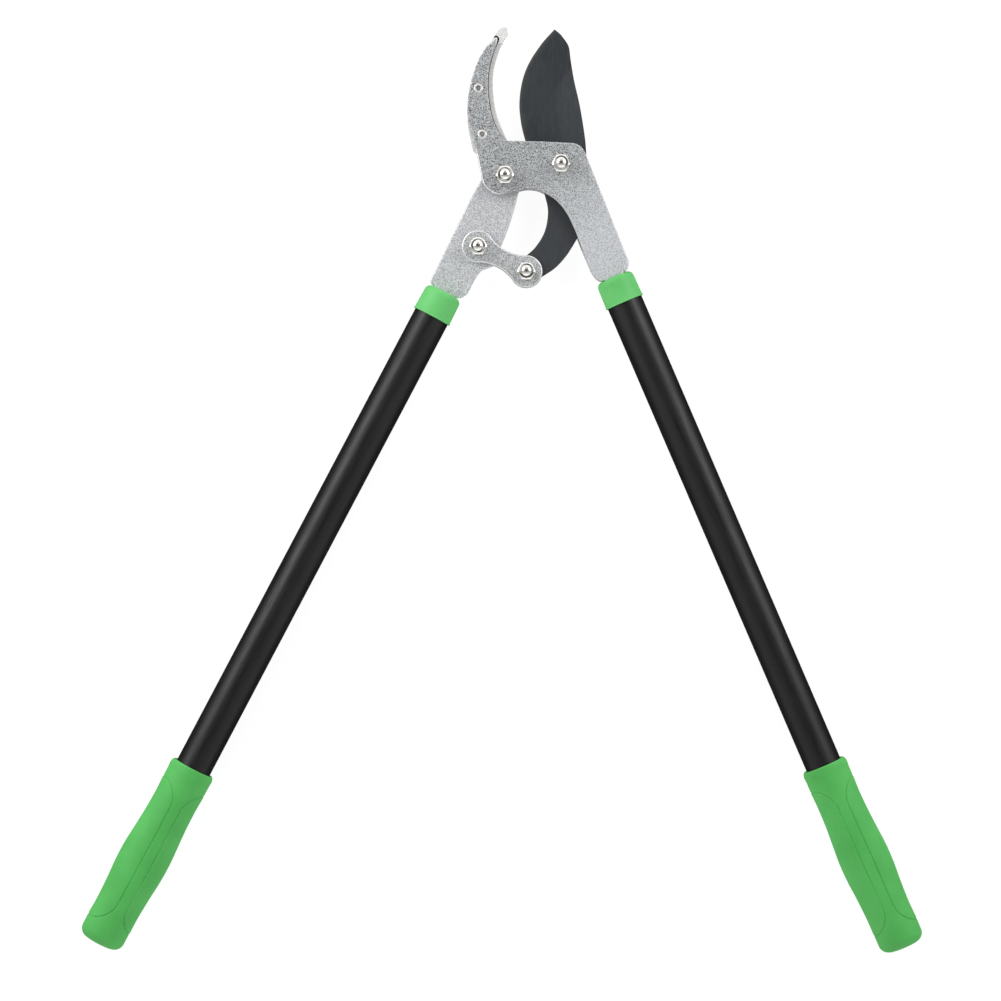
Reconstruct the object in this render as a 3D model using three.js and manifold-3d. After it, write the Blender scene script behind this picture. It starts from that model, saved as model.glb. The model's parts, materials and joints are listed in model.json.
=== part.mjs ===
// Compound-action bypass loppers, lying on their back with the handles spread and the nuts up.
//
// Millimetres. The origin is on the main pivot's axis, at the flat underside of the pivot bolt's head.
// +Y points to the jaws, +X to the right with the jaws pointing away, and +Z to the nuts.
//
// Four bodies make a four-bar linkage: the hook frame with the right handle, the lever with the left
// handle, the blade, and a pair of links that carry the lever's pull to the blade's tail.
import * as THREE from "three";
import { mergeVertices } from "three/addons/utils/BufferGeometryUtils.js";
import Module from "manifold-3d";

const wasm = await Module();
wasm.setup();

const point = (x, y) => new THREE.Vector2(x, y);
const degrees = THREE.MathUtils.degToRad;

// ---------------------------------------------------------------------------------------------
// Driving dimensions
// ---------------------------------------------------------------------------------------------

// Pivot axes, all parallel to Z.
const MAIN_PIVOT = point(0, 0);
const HANDLE_PIVOT = point(-43, -8.8);
const LEVER_LINK_PIVOT = point(-63.7, -63.2);
const BLADE_LINK_PIVOT = point(-26.6, -82.4);

// Sheet thicknesses, and the gap between faces that slide on each other.
const PLATE = 4;
const INSERT_PLATE = 3;
const SLIDE_GAP = 0.2;
const WASHER_GAP = 0.1;

// Gap kept between pieces that touch inside a turned handle.
const FIT_GAP = 0.3;

// How far a cutting tool or a joined piece runs past the face it crosses.
const PAST = 1;

// M8 hexagon-head bolts with acorn nuts.
const BOLT_RADIUS = 4;
const BOLT_CLEARANCE = 0.1;
const HEX_ACROSS_FLATS = 13;
const BOLT_HEAD = 5.3;
const NUT_HEX = 6.2;
const NUT_HEIGHT = 14.6;
const NUT_DOME_RADIUS = 5.9;
const NUT_BORE_DEPTH = 10.5;
const NUT_BORE_SPARE = 1;
const WASHER_RADIUS = 8;
const WASHER = 1.6;
const BUSH_RADIUS = 6.2;

// Free play of the bolt in the blade's tail.
const TAIL_PLAY = 1.2;

// Handles: round tubes with a moulded collar above and a moulded grip below.
const TUBE_RADIUS = 14;
const TUBE_WALL = 1.5;
const COLLAR_LENGTH = 21.3;
const COLLAR_RADIUS = 15.4;
const COLLAR_NECK = 14.7;
const COLLAR_SHOULDER = 4.6;
const COLLAR_CHAMFER = 0.7;
const COLLAR_TOP_WALL = 2.4;
const GRIP_LENGTH = 153;
const GRIP_THICKNESS = 32.6;
const GRIP_RIM_THICKNESS = 31;
const GRIP_SWELL_LENGTH = 60;
const GRIP_END_WALL = 14;
const TANG_LENGTH = 42;
const TANG_CORNER = 3;
const PIN_RADIUS = 2.5;

// Each handle hangs from its pivot. The tilt is from straight down, outwards. The offset moves its
// axis across the pivot, outwards. The other two are distances from the pivot along the handle.
const RIGHT = {
  side: 1,
  pivot: MAIN_PIVOT,
  tilt: degrees(23.27),
  offset: 3.2,
  collarTop: 95.5,
  gripRim: 503.5,
  tangHalfWidth: 7.8,
};
const LEFT = {
  side: -1,
  pivot: HANDLE_PIVOT,
  tilt: degrees(27.84),
  offset: -0.6,
  collarTop: 100.6,
  gripRim: 513.9,
  tangHalfWidth: 9,
};

// ---------------------------------------------------------------------------------------------
// Layers: each is {bottom, top}, stacked outwards from the blade and lever in the middle
// ---------------------------------------------------------------------------------------------

const MIDDLE = GRIP_THICKNESS / 2;

const above = (layer, gap, thickness) => ({ bottom: layer.top + gap, top: layer.top + gap + thickness });
const below = (layer, gap, thickness) => ({
  bottom: layer.bottom - gap - thickness,
  top: layer.bottom - gap,
});
const between = (lower, upper, gap) => ({ bottom: lower.top + gap, top: upper.bottom - gap });

const bladeLayer = { bottom: MIDDLE - PLATE / 2, top: MIDDLE + PLATE / 2 };
const insertLayer = above(bladeLayer, SLIDE_GAP, INSERT_PLATE);
const hookLayer = above(insertLayer, SLIDE_GAP, PLATE);
const frontLinkLayer = above(bladeLayer, SLIDE_GAP, PLATE);
const rearLinkLayer = below(bladeLayer, SLIDE_GAP, PLATE);
const cheekDepth = hookLayer.bottom - bladeLayer.top;
const rearCheekLayer = below(bladeLayer, cheekDepth, PLATE);
const frontSpacerLayer = between(bladeLayer, hookLayer, WASHER_GAP);
const rearSpacerLayer = between(rearCheekLayer, bladeLayer, WASHER_GAP);
const headWasherLayer = below(rearCheekLayer, 0, WASHER);
const frameHeadLayer = below(headWasherLayer, 0, BOLT_HEAD);
const linkHeadLayer = below(rearLinkLayer, 0, BOLT_HEAD);

// ---------------------------------------------------------------------------------------------
// Solid tools
// ---------------------------------------------------------------------------------------------

// Steps of each curve in an outline, and sides of the large and the small round pieces.
const CURVE_STEPS = 4;
const ROUND_STEPS = 32;
const SMALL_STEPS = 20;

// A closed geometry as a solid that can be joined and cut.
function solid(geometry) {
  const bare = geometry.clone();
  bare.deleteAttribute("normal");
  bare.deleteAttribute("uv");
  const merged = mergeVertices(bare, 1e-4);
  return new wasm.Manifold(
    new wasm.Mesh({
      numProp: 3,
      vertProperties: merged.attributes.position.array,
      triVerts: new Uint32Array(merged.index.array),
    }),
  );
}

// A solid back as a geometry.
function geometryOf(body) {
  const mesh = body.getMesh();
  const geometry = new THREE.BufferGeometry();
  geometry.setAttribute("position", new THREE.BufferAttribute(mesh.vertProperties, 3));
  geometry.setIndex(new THREE.BufferAttribute(mesh.triVerts, 1));
  geometry.computeVertexNormals();
  return geometry;
}

const cut = (base, ...tools) =>
  geometryOf(tools.reduce((body, tool) => body.subtract(solid(tool)), solid(base)));
const join = (base, ...others) =>
  geometryOf(others.reduce((body, other) => body.add(solid(other)), solid(base)));

function circlePoints(centre, radius, steps = SMALL_STEPS) {
  return Array.from({ length: steps }, (_, i) => {
    const angle = (2 * Math.PI * i) / steps;
    return point(centre.x + radius * Math.cos(angle), centre.y + radius * Math.sin(angle));
  });
}

// A flat plate that fills a layer, with round holes given as {at, radius}.
function plate(shape, layer, holes = [], curveSteps = CURVE_STEPS) {
  for (const { at, radius } of holes) shape.holes.push(new THREE.Path(circlePoints(at, radius)));
  const geometry = new THREE.ExtrudeGeometry(shape, {
    depth: layer.top - layer.bottom,
    bevelEnabled: false,
    curveSegments: curveSteps,
  });
  return geometry.translate(0, 0, layer.bottom);
}

// An upright cylinder, or a prism with few sides, that fills a layer.
function post(at, radius, layer, steps = SMALL_STEPS) {
  const height = layer.top - layer.bottom;
  const geometry = new THREE.CylinderGeometry(radius, radius, height, steps);
  geometry.rotateX(Math.PI / 2);
  return geometry.translate(at.x, at.y, (layer.top + layer.bottom) / 2);
}

const hexagon = (at, layer) => post(at, HEX_ACROSS_FLATS / Math.sqrt(3), layer, 6);

// A flat ring that fills a layer.
function ring(at, outer, inner, layer) {
  return plate(new THREE.Shape(circlePoints(at, outer)), layer, [{ at, radius: inner }]);
}

const boltHole = (at) => ({ at, radius: BOLT_RADIUS + BOLT_CLEARANCE });
const bushHole = (at) => ({ at, radius: BUSH_RADIUS + BOLT_CLEARANCE });

// ---------------------------------------------------------------------------------------------
// Materials
// ---------------------------------------------------------------------------------------------

const material = (color, roughness, metalness) => ({ color, roughness, metalness });
const SILVER_PAINT = material(0xa6aaac, 0.45, 0.5);
const PALE_SILVER_PAINT = material(0xbcc0c2, 0.45, 0.5);
const BRIGHT_STEEL = material(0xdcdad8, 0.3, 0.9);
const COATED_STEEL = material(0x3f4346, 0.5, 0.3);
const NICKEL = material(0xd8d8d4, 0.15, 1);
const BLACK_PAINT = material(0x191a1c, 0.4, 0.1);
const GREEN_COLLAR = material(0x5fc763, 0.55, 0);
const GREEN_GRIP = material(0x4db752, 0.6, 0);
const BRONZE = material(0xb08d57, 0.35, 0.9);
const NYLON = material(0x2c2d2e, 0.6, 0);

function part(name, geometry, finish) {
  const mesh = new THREE.Mesh(geometry, new THREE.MeshStandardMaterial(finish));
  mesh.name = name;
  return mesh;
}

// ---------------------------------------------------------------------------------------------
// Handle frames
// ---------------------------------------------------------------------------------------------

// A point in the plane, by its distance along a handle from its pivot and its distance outwards
// from the handle's axis.
function onHandle(handle, along, outwards) {
  const down = point(handle.side * Math.sin(handle.tilt), -Math.cos(handle.tilt));
  const out = point(handle.side * Math.cos(handle.tilt), Math.sin(handle.tilt));
  return handle.pivot
    .clone()
    .addScaledVector(down, along)
    .addScaledVector(out, handle.offset + outwards);
}

// Carries an outline round a handle's tang, from the shoulder on one side to the shoulder on the other.
// The sign is +1 when the outline arrives on the outer side.
function addTang(shape, handle, sign) {
  const half = handle.tangHalfWidth;
  const top = handle.collarTop - FIT_GAP;
  const end = top + TANG_LENGTH;
  const corners = [
    [top, half],
    [end - TANG_CORNER, half],
    [end, half - TANG_CORNER],
    [end, TANG_CORNER - half],
    [end - TANG_CORNER, -half],
    [top, -half],
  ];
  for (const [along, outwards] of corners) {
    const at = onHandle(handle, along, sign * outwards);
    shape.lineTo(at.x, at.y);
  }
}

const pinPlace = (handle) => handle.collarTop + COLLAR_LENGTH / 2;
const pinHole = (handle) => ({
  at: onHandle(handle, pinPlace(handle), 0),
  radius: PIN_RADIUS + FIT_GAP / 2,
});

// ---------------------------------------------------------------------------------------------
// Hook frame: two cheek plates, the toothed insert and their fasteners
// ---------------------------------------------------------------------------------------------

const SHOULDER_HALF_WIDTH = 13.3;
const SHOULDER_CORNER = 4.5;
const REAR_LAP = 0.5;
const THROAT_CORNER = point(-41.6, 17.6);
const LOBE_START = point(-61.2, -9.5);

const RIVETS = [point(-63.3, 57.8), point(-60.4, 22.4)];
const RIVET_RADIUS = 2.2;
const RIVET_HEAD_RADIUS = 3.6;
const RIVET_HEAD = 1;
const RIVET_HEAD_STEPS = 3;

// The outline both cheeks share: from the lobe at the handle pivot, under the throat, down the arm,
// round the tang and back along the top edge. The lap widens the arm on its inner side.
function addCheekOutline(shape, lap) {
  shape.splineThru([point(-59, -16.4), point(-54.3, -20.9), point(-47.2, -23.6), point(-34.1, -20.8)]);
  shape.splineThru([
    point(-26, -19.2),
    point(-17.9, -20.1),
    point(-10.6, -23.5),
    point(-3.2, -28.6),
    point(4.1, -37.5),
    point(10 - lap, -49.2),
    point(15.9 - lap, -63.9),
    point(23.2 - lap, -81.5),
  ]);
  const top = RIGHT.collarTop - FIT_GAP;
  const innerCorner = onHandle(RIGHT, top, -SHOULDER_HALF_WIDTH);
  const innerEnd = onHandle(RIGHT, top, SHOULDER_CORNER - SHOULDER_HALF_WIDTH);
  shape.quadraticCurveTo(innerCorner.x - lap, innerCorner.y, innerEnd.x, innerEnd.y);
  addTang(shape, RIGHT, -1);
  const outerStart = onHandle(RIGHT, top, SHOULDER_HALF_WIDTH - SHOULDER_CORNER);
  const outerCorner = onHandle(RIGHT, top, SHOULDER_HALF_WIDTH);
  shape.lineTo(outerStart.x, outerStart.y);
  shape.quadraticCurveTo(outerCorner.x, outerCorner.y, 51.8, -74.1);
  shape.lineTo(19.6, 5.8);
  shape.quadraticCurveTo(16.6, 15.3, 8.5, 15.9);
  shape.quadraticCurveTo(-16, 17.4, THROAT_CORNER.x, THROAT_CORNER.y);
}

function hookPlate() {
  const shape = new THREE.Shape();
  shape.moveTo(LOBE_START.x, LOBE_START.y);
  addCheekOutline(shape, 0);
  shape.splineThru([
    point(-47.7, 23.9),
    point(-53.5, 38.6),
    point(-55.9, 57),
    point(-55.3, 71.4),
    point(-52.3, 83.9),
    point(-47.7, 94.4),
  ]);
  shape.splineThru([point(-47.5, 96.8), point(-50, 98.5), point(-52.8, 96.2), point(-55.5, 92.7)]);
  shape.splineThru([
    point(-63.3, 79.8),
    point(-69.2, 62.5),
    point(-71.9, 44),
    point(-70.4, 29.5),
    point(-65.7, 11.6),
    LOBE_START,
  ]);
  const rivetHoles = RIVETS.map((at) => ({ at, radius: RIVET_RADIUS + BOLT_CLEARANCE }));
  const holes = [boltHole(MAIN_PIVOT), boltHole(HANDLE_PIVOT), pinHole(RIGHT), ...rivetHoles];
  return part("hook_plate", plate(shape, hookLayer, holes), SILVER_PAINT);
}

function rearCheekPlate() {
  const shape = new THREE.Shape();
  shape.moveTo(LOBE_START.x, LOBE_START.y);
  addCheekOutline(shape, REAR_LAP);
  shape.splineThru([point(-49, 14.5), point(-56.5, 6), LOBE_START]);
  const holes = [boltHole(MAIN_PIVOT), boltHole(HANDLE_PIVOT), pinHole(RIGHT)];
  return part("rear_cheek_plate", plate(shape, rearCheekLayer, holes), SILVER_PAINT);
}

const TOOTH_COUNT = 34;
const TOOTH_DEPTH = 0.45;

// The insert's inner edge from the nose down to the throat, cut into small square-backed teeth.
function toothedEdge() {
  const edge = new THREE.SplineCurve([
    point(-46, 90.2),
    point(-48.4, 83.1),
    point(-51.2, 72.5),
    point(-51.9, 58),
    point(-50, 42.5),
    point(-46.9, 32),
    point(-41.2, 18.6),
  ]);
  const points = [];
  for (let i = 0; i < TOOTH_COUNT; i++) {
    const start = edge.getPointAt(i / TOOTH_COUNT);
    const next = edge.getPointAt((i + 1) / TOOTH_COUNT);
    const inwards = next.clone().sub(start).normalize().rotateAround(MAIN_PIVOT, -Math.PI / 2);
    points.push(start, next.clone().addScaledVector(inwards, TOOTH_DEPTH));
  }
  return points;
}

function hookInsert() {
  const shape = new THREE.Shape();
  shape.moveTo(-45.2, 91.2);
  for (const at of toothedEdge()) shape.lineTo(at.x, at.y);
  shape.lineTo(-41.4, 18.2);
  shape.lineTo(-44, 13.8);
  shape.splineThru([point(-56, 9.6), point(-64.6, 7.8)]);
  shape.splineThru([
    point(-67.3, 9.9),
    point(-69.4, 18),
    point(-71.9, 32.4),
    point(-71, 46),
    point(-68.2, 62.5),
    point(-62.3, 79.8),
    point(-54.5, 92.7),
    point(-49.6, 100.9),
  ]);
  shape.splineThru([point(-46.8, 103.9), point(-42.9, 105.1), point(-40.6, 103), point(-40.3, 99.6)]);
  shape.lineTo(-43.4, 95.2);
  const holes = RIVETS.map((at) => ({ at, radius: RIVET_RADIUS + BOLT_CLEARANCE }));
  return part("hook_insert", plate(shape, insertLayer, holes), BRIGHT_STEEL);
}

// A rivet, flush with the insert's rear face, with a shallow domed head on the hook plate.
function rivet(name, at) {
  const shank = hookLayer.top - insertLayer.bottom;
  const profile = [point(0, 0), point(RIVET_RADIUS, 0), point(RIVET_RADIUS, shank)];
  for (let i = 0; i < RIVET_HEAD_STEPS; i++) {
    const angle = ((Math.PI / 2) * i) / RIVET_HEAD_STEPS;
    profile.push(point(RIVET_HEAD_RADIUS * Math.cos(angle), shank + RIVET_HEAD * Math.sin(angle)));
  }
  profile.push(point(0, shank + RIVET_HEAD));
  const geometry = new THREE.LatheGeometry(profile, SMALL_STEPS).rotateX(Math.PI / 2);
  return part(name, geometry.translate(at.x, at.y, insertLayer.bottom), NICKEL);
}

// ---------------------------------------------------------------------------------------------
// Bolts, nuts, washers and bushes
// ---------------------------------------------------------------------------------------------

// A hexagon-head bolt whose shank ends inside its nut.
function bolt(name, at, head, nutSeat) {
  const shankTop = nutSeat + NUT_BORE_DEPTH - NUT_BORE_SPARE;
  const shank = post(at, BOLT_RADIUS, { bottom: head.top - PAST, top: shankTop });
  return part(name, join(hexagon(at, head), shank), NICKEL);
}

const NUT_DOME_STEPS = 5;

// An acorn nut: a hexagon with a domed cap on it, closed at the top.
function acornNut(name, at, seat) {
  const hex = hexagon(at, { bottom: seat, top: seat + NUT_HEX });
  const wallTop = NUT_HEIGHT - NUT_DOME_RADIUS;
  const dome = [point(0, NUT_HEX / 2), point(NUT_DOME_RADIUS, NUT_HEX / 2)];
  for (let i = 0; i < NUT_DOME_STEPS; i++) {
    const angle = ((Math.PI / 2) * i) / NUT_DOME_STEPS;
    dome.push(point(NUT_DOME_RADIUS * Math.cos(angle), wallTop + NUT_DOME_RADIUS * Math.sin(angle)));
  }
  dome.push(point(0, NUT_HEIGHT));
  const cap = new THREE.LatheGeometry(dome, SMALL_STEPS).rotateX(Math.PI / 2);
  cap.translate(at.x, at.y, seat);
  const boreRadius = BOLT_RADIUS + BOLT_CLEARANCE;
  const bore = post(at, boreRadius, { bottom: seat - PAST, top: seat + NUT_BORE_DEPTH });
  return part(name, cut(join(hex, cap), bore), NICKEL);
}

const washer = (name, at, layer) =>
  part(name, ring(at, WASHER_RADIUS, BOLT_RADIUS + BOLT_CLEARANCE, layer), NICKEL);

const bush = (name, at) =>
  part(name, ring(at, BUSH_RADIUS, BOLT_RADIUS + BOLT_CLEARANCE, bladeLayer), BRONZE);

// Everything on one pivot of the hook frame: bolt, acorn nut, spacers in front and behind, and a
// washer under the bolt's head.
function framePivot(prefix, at) {
  return [
    bolt(prefix + "_bolt", at, frameHeadLayer, hookLayer.top),
    acornNut(prefix + "_nut", at, hookLayer.top),
    washer(prefix + "_front_spacer", at, frontSpacerLayer),
    washer(prefix + "_rear_spacer", at, rearSpacerLayer),
    washer(prefix + "_head_washer", at, headWasherLayer),
  ];
}

// A bolt and acorn nut that hold the two links on one pivot.
function linkPivot(prefix, at) {
  return [
    bolt(prefix + "_bolt", at, linkHeadLayer, frontLinkLayer.top),
    acornNut(prefix + "_nut", at, frontLinkLayer.top),
  ];
}

// ---------------------------------------------------------------------------------------------
// Lever, links and blade
// ---------------------------------------------------------------------------------------------

const LEVER_EYE_RADIUS = 15;
const LEVER_SHOULDER_HALF_WIDTH = 14;

function leverPlate() {
  const top = LEFT.collarTop - FIT_GAP;
  const shape = new THREE.Shape();
  shape.moveTo(-62.3, -13.4);
  shape.lineTo(-69.2, -25.4);
  const outerEdge = onHandle(LEFT, top - SHOULDER_CORNER, LEVER_SHOULDER_HALF_WIDTH);
  const outerCorner = onHandle(LEFT, top, LEVER_SHOULDER_HALF_WIDTH);
  const outerEnd = onHandle(LEFT, top, LEVER_SHOULDER_HALF_WIDTH - SHOULDER_CORNER);
  shape.lineTo(outerEdge.x, outerEdge.y);
  shape.quadraticCurveTo(outerCorner.x, outerCorner.y, outerEnd.x, outerEnd.y);
  addTang(shape, LEFT, 1);
  const innerStart = onHandle(LEFT, top, SHOULDER_CORNER - LEVER_SHOULDER_HALF_WIDTH);
  const innerCorner = onHandle(LEFT, top, -LEVER_SHOULDER_HALF_WIDTH);
  shape.lineTo(innerStart.x, innerStart.y);
  shape.quadraticCurveTo(innerCorner.x, innerCorner.y, -71.7, -99.2);
  shape.splineThru([point(-68.6, -93.2), point(-64.5, -85.8), point(-60.4, -81.4), point(-54, -79)]);
  shape.splineThru([point(-49, -76.6), point(-46.5, -70.5), point(-46.3, -63.6)]);
  shape.splineThru([point(-42.5, -54.4), point(-37.6, -40.5), point(-32.5, -22)]);
  const eyeStart = degrees(-17);
  const eyeEnd = degrees(153);
  shape.absarc(HANDLE_PIVOT.x, HANDLE_PIVOT.y, LEVER_EYE_RADIUS, eyeStart, eyeEnd, false);
  const holes = [bushHole(HANDLE_PIVOT), boltHole(LEVER_LINK_PIVOT), pinHole(LEFT)];
  return part("lever_plate", plate(shape, bladeLayer, holes), PALE_SILVER_PAINT);
}

const LINK_LOBE_RADIUS = 12.4;
const LINK_WAIST = 7.1;
const LINK_FLARE = degrees(55);
const LINK_CURVE_STEPS = 9;

// A dog-bone between the two link pivots, drawn along its own X axis and then turned into place.
function link(name, layer) {
  const span = BLADE_LINK_PIVOT.clone().sub(LEVER_LINK_PIVOT);
  const length = span.length();
  const lobeX = LINK_LOBE_RADIUS * Math.cos(LINK_FLARE);
  const lobeY = LINK_LOBE_RADIUS * Math.sin(LINK_FLARE);
  const waistControl = 2 * LINK_WAIST - lobeY;
  const shape = new THREE.Shape();
  shape.absarc(0, 0, LINK_LOBE_RADIUS, LINK_FLARE, 2 * Math.PI - LINK_FLARE, false);
  shape.quadraticCurveTo(length / 2, -waistControl, length - lobeX, -lobeY);
  shape.absarc(length, 0, LINK_LOBE_RADIUS, LINK_FLARE - Math.PI, Math.PI - LINK_FLARE, false);
  shape.quadraticCurveTo(length / 2, waistControl, lobeX, lobeY);
  const holes = [boltHole(point(0, 0)), boltHole(point(length, 0))];
  const geometry = plate(shape, layer, holes, LINK_CURVE_STEPS).rotateZ(span.angle());
  return part(name, geometry.translate(LEVER_LINK_PIVOT.x, LEVER_LINK_PIVOT.y, 0), SILVER_PAINT);
}

// The blade's front face is flat and passes close behind the hook. The cutting edge is ground from
// the rear: there the edge leaves a thin land, then slopes back over the width of the bevel.
const EDGE_LAND = 0.5;
const BEVEL_WIDTH = 8;
const BEVEL_WIDTH_AT_ENDS = 3;
const EDGE_STEPS = 24;
const TAIL_LOBE_RADIUS = 11.3;

const bladeEdge = new THREE.SplineCurve([
  point(-4.8, 103.9),
  point(-14.6, 93),
  point(-24.4, 78),
  point(-29.8, 63.5),
  point(-31.9, 46.5),
  point(-30.4, 30.5),
  point(-27.3, 18),
]);

function bladeTail() {
  const shape = new THREE.Shape();
  const end = bladeEdge.getPointAt(1);
  shape.moveTo(end.x, end.y);
  shape.splineThru([point(-23.6, 7), point(-18.5, -6.5), point(-12.3, -23.6)]);
  shape.splineThru([point(-9.9, -36), point(-12.4, -51.4), point(-19.6, -63.6), point(-27.6, -70.9)]);
  const { x, y } = BLADE_LINK_PIVOT;
  shape.absarc(x, y, TAIL_LOBE_RADIUS, degrees(95), degrees(-27), false);
  shape.splineThru([point(-4.5, -79.6), point(4.6, -69.6), point(12.9, -56.4)]);
  shape.splineThru([point(17.8, -42), point(20.3, -20), point(19.6, 6.8)]);
  shape.splineThru([
    point(18.6, 20),
    point(14.8, 44),
    point(10.2, 64.5),
    point(7.6, 80),
    point(5.9, 91),
    point(0.6, 99),
  ]);
  return shape.getPoints(CURVE_STEPS).slice(1);
}

// Moves a point of the cutting edge inwards by the bevel's width, which narrows at both ends.
function bevelPoint(t) {
  const inwards = bladeEdge.getTangentAt(t).rotateAround(MAIN_PIVOT, Math.PI / 2);
  const fullness = Math.sin(Math.PI * Math.min(1, Math.max(0, t)));
  const width = BEVEL_WIDTH_AT_ENDS + (BEVEL_WIDTH - BEVEL_WIDTH_AT_ENDS) * Math.sqrt(fullness);
  return bladeEdge.getPointAt(t).addScaledVector(inwards, width);
}

// A closed solid between rings of points, with flat caps on the first and the last ring.
function stackedRings(rings) {
  const count = rings[0].points.length;
  const positions = rings.flatMap(({ z, points }) => points.flatMap((at) => [at.x, at.y, z]));
  const indices = [];
  for (let level = 0; level + 1 < rings.length; level++) {
    for (let i = 0; i < count; i++) {
      const next = (i + 1) % count;
      const [a, b] = [level * count + i, level * count + next];
      const [c, d] = [a + count, b + count];
      indices.push(a, b, d, a, d, c);
    }
  }
  const last = (rings.length - 1) * count;
  for (const [a, b, c] of THREE.ShapeUtils.triangulateShape(rings[0].points, [])) indices.push(a, c, b);
  for (const [a, b, c] of THREE.ShapeUtils.triangulateShape(rings.at(-1).points, [])) {
    indices.push(last + a, last + b, last + c);
  }
  const geometry = new THREE.BufferGeometry();
  geometry.setAttribute("position", new THREE.Float32BufferAttribute(positions, 3));
  return geometry.setIndex(indices);
}

function blade() {
  const steps = Array.from({ length: EDGE_STEPS + 1 }, (_, i) => i / EDGE_STEPS);
  const tail = bladeTail();
  const front = [...steps.map((t) => bladeEdge.getPointAt(t)), ...tail];
  const rear = [...steps.map(bevelPoint), ...tail];
  const body = stackedRings([
    { z: bladeLayer.bottom, points: rear },
    { z: bladeLayer.top - EDGE_LAND, points: front },
    { z: bladeLayer.top, points: front },
  ]);
  const through = { bottom: bladeLayer.bottom - PAST, top: bladeLayer.top + PAST };
  const bushBore = post(MAIN_PIVOT, BUSH_RADIUS + BOLT_CLEARANCE, through);
  const tailBore = post(BLADE_LINK_PIVOT, BOLT_RADIUS + TAIL_PLAY, through);
  return part("blade", cut(body, bushBore, tailBore), COATED_STEEL);
}

// ---------------------------------------------------------------------------------------------
// Handles: each is drawn along its own Y axis, from the pivot down, with Z up and the tube at X 0
// ---------------------------------------------------------------------------------------------

// A box from one corner to the opposite one, in the handle's own frame.
function block(low, high) {
  const size = high.map((value, i) => value - low[i]);
  const middle = high.map((value, i) => (value + low[i]) / 2);
  return new THREE.BoxGeometry(...size).translate(...middle);
}

const COLLAR_SHOULDER_STEPS = 4;

// A moulded cap with a rounded shoulder. Its top is slotted for the tang, and its mouth takes the tube.
function collar(name, handle, tangDepth) {
  const inner = TUBE_RADIUS + FIT_GAP;
  const shoulder = [];
  for (let i = 0; i <= COLLAR_SHOULDER_STEPS; i++) {
    const angle = ((Math.PI / 2) * i) / COLLAR_SHOULDER_STEPS;
    const radius = COLLAR_NECK - COLLAR_SHOULDER * (1 - Math.sin(angle));
    shoulder.push(point(radius, COLLAR_SHOULDER * (1 - Math.cos(angle))));
  }
  const profile = [
    point(0, 0),
    ...shoulder,
    point(COLLAR_RADIUS, COLLAR_LENGTH - COLLAR_CHAMFER),
    point(COLLAR_RADIUS - COLLAR_CHAMFER, COLLAR_LENGTH),
    point(inner, COLLAR_LENGTH),
    point(inner, COLLAR_TOP_WALL),
    point(0, COLLAR_TOP_WALL),
  ];
  const sleeve = new THREE.LatheGeometry(profile, ROUND_STEPS);
  const half = handle.tangHalfWidth + FIT_GAP;
  const depth = tangDepth + FIT_GAP;
  const slot = block([-half, -PAST, -depth], [half, COLLAR_TOP_WALL + PAST, depth]);
  return part(name, cut(sleeve, slot).translate(0, handle.collarTop, 0), GREEN_COLLAR);
}

// The tube runs from just under the collar's top wall to near the bottom of the grip's bore.
function tubeSpan(handle) {
  const top = handle.collarTop + COLLAR_TOP_WALL + FIT_GAP;
  const bottom = handle.gripRim + GRIP_LENGTH - GRIP_END_WALL - FIT_GAP;
  return { top, bottom };
}

// A hole for the tang's cross pin, along Z.
function pinBore(handle) {
  const through = { bottom: -TUBE_RADIUS - PAST, top: TUBE_RADIUS + PAST };
  return post(point(0, pinPlace(handle)), PIN_RADIUS + FIT_GAP / 2, through);
}

function tube(name, handle) {
  const { top, bottom } = tubeSpan(handle);
  const inner = TUBE_RADIUS - TUBE_WALL;
  const wall = [
    point(inner, top),
    point(TUBE_RADIUS, top),
    point(TUBE_RADIUS, bottom),
    point(inner, bottom),
    point(inner, top),
  ];
  return part(name, cut(new THREE.LatheGeometry(wall, ROUND_STEPS), pinBore(handle)), BLACK_PAINT);
}

// The pin that holds a tang in its tube, flush with the tube so that the collar slides over it.
function tangPin(name, handle) {
  const span = { bottom: FIT_GAP - TUBE_RADIUS, top: TUBE_RADIUS - FIT_GAP };
  return part(name, post(point(0, pinPlace(handle)), PIN_RADIUS, span), NICKEL);
}

const PLUG_RADIUS = TUBE_RADIUS - TUBE_WALL - FIT_GAP;

// The nylon plug in a tube's mouth reaches from the collar's top wall to the end of the tang.
function plugSpan(handle) {
  const top = tubeSpan(handle).top + FIT_GAP;
  const bottom = handle.collarTop + TANG_LENGTH;
  return { top, bottom };
}

function plugBody({ top, bottom }) {
  const body = new THREE.CylinderGeometry(PLUG_RADIUS, PLUG_RADIUS, bottom - top, ROUND_STEPS);
  return body.translate(0, (top + bottom) / 2, 0);
}

// In the left tube the plug is slotted for the single tang.
function slottedPlug(name, handle) {
  const span = plugSpan(handle);
  const half = handle.tangHalfWidth + FIT_GAP;
  const depth = PLATE / 2 + FIT_GAP;
  const slot = block([-half, span.top - PAST, -depth], [half, span.bottom + PAST, depth]);
  return part(name, cut(plugBody(span), slot, pinBore(handle)), NYLON);
}

// In the right tube the plug fills the space between the two tangs.
function spacerPlug(name, handle) {
  const span = plugSpan(handle);
  const depth = hookLayer.bottom - MIDDLE - FIT_GAP;
  const [x, top, bottom] = [PLUG_RADIUS + PAST, span.top - PAST, span.bottom + PAST];
  const frontTrim = block([-x, top, depth], [x, bottom, x]);
  const rearTrim = block([-x, top, -x], [x, bottom, -depth]);
  return part(name, cut(plugBody(span), frontTrim, rearTrim, pinBore(handle)), NYLON);
}

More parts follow.
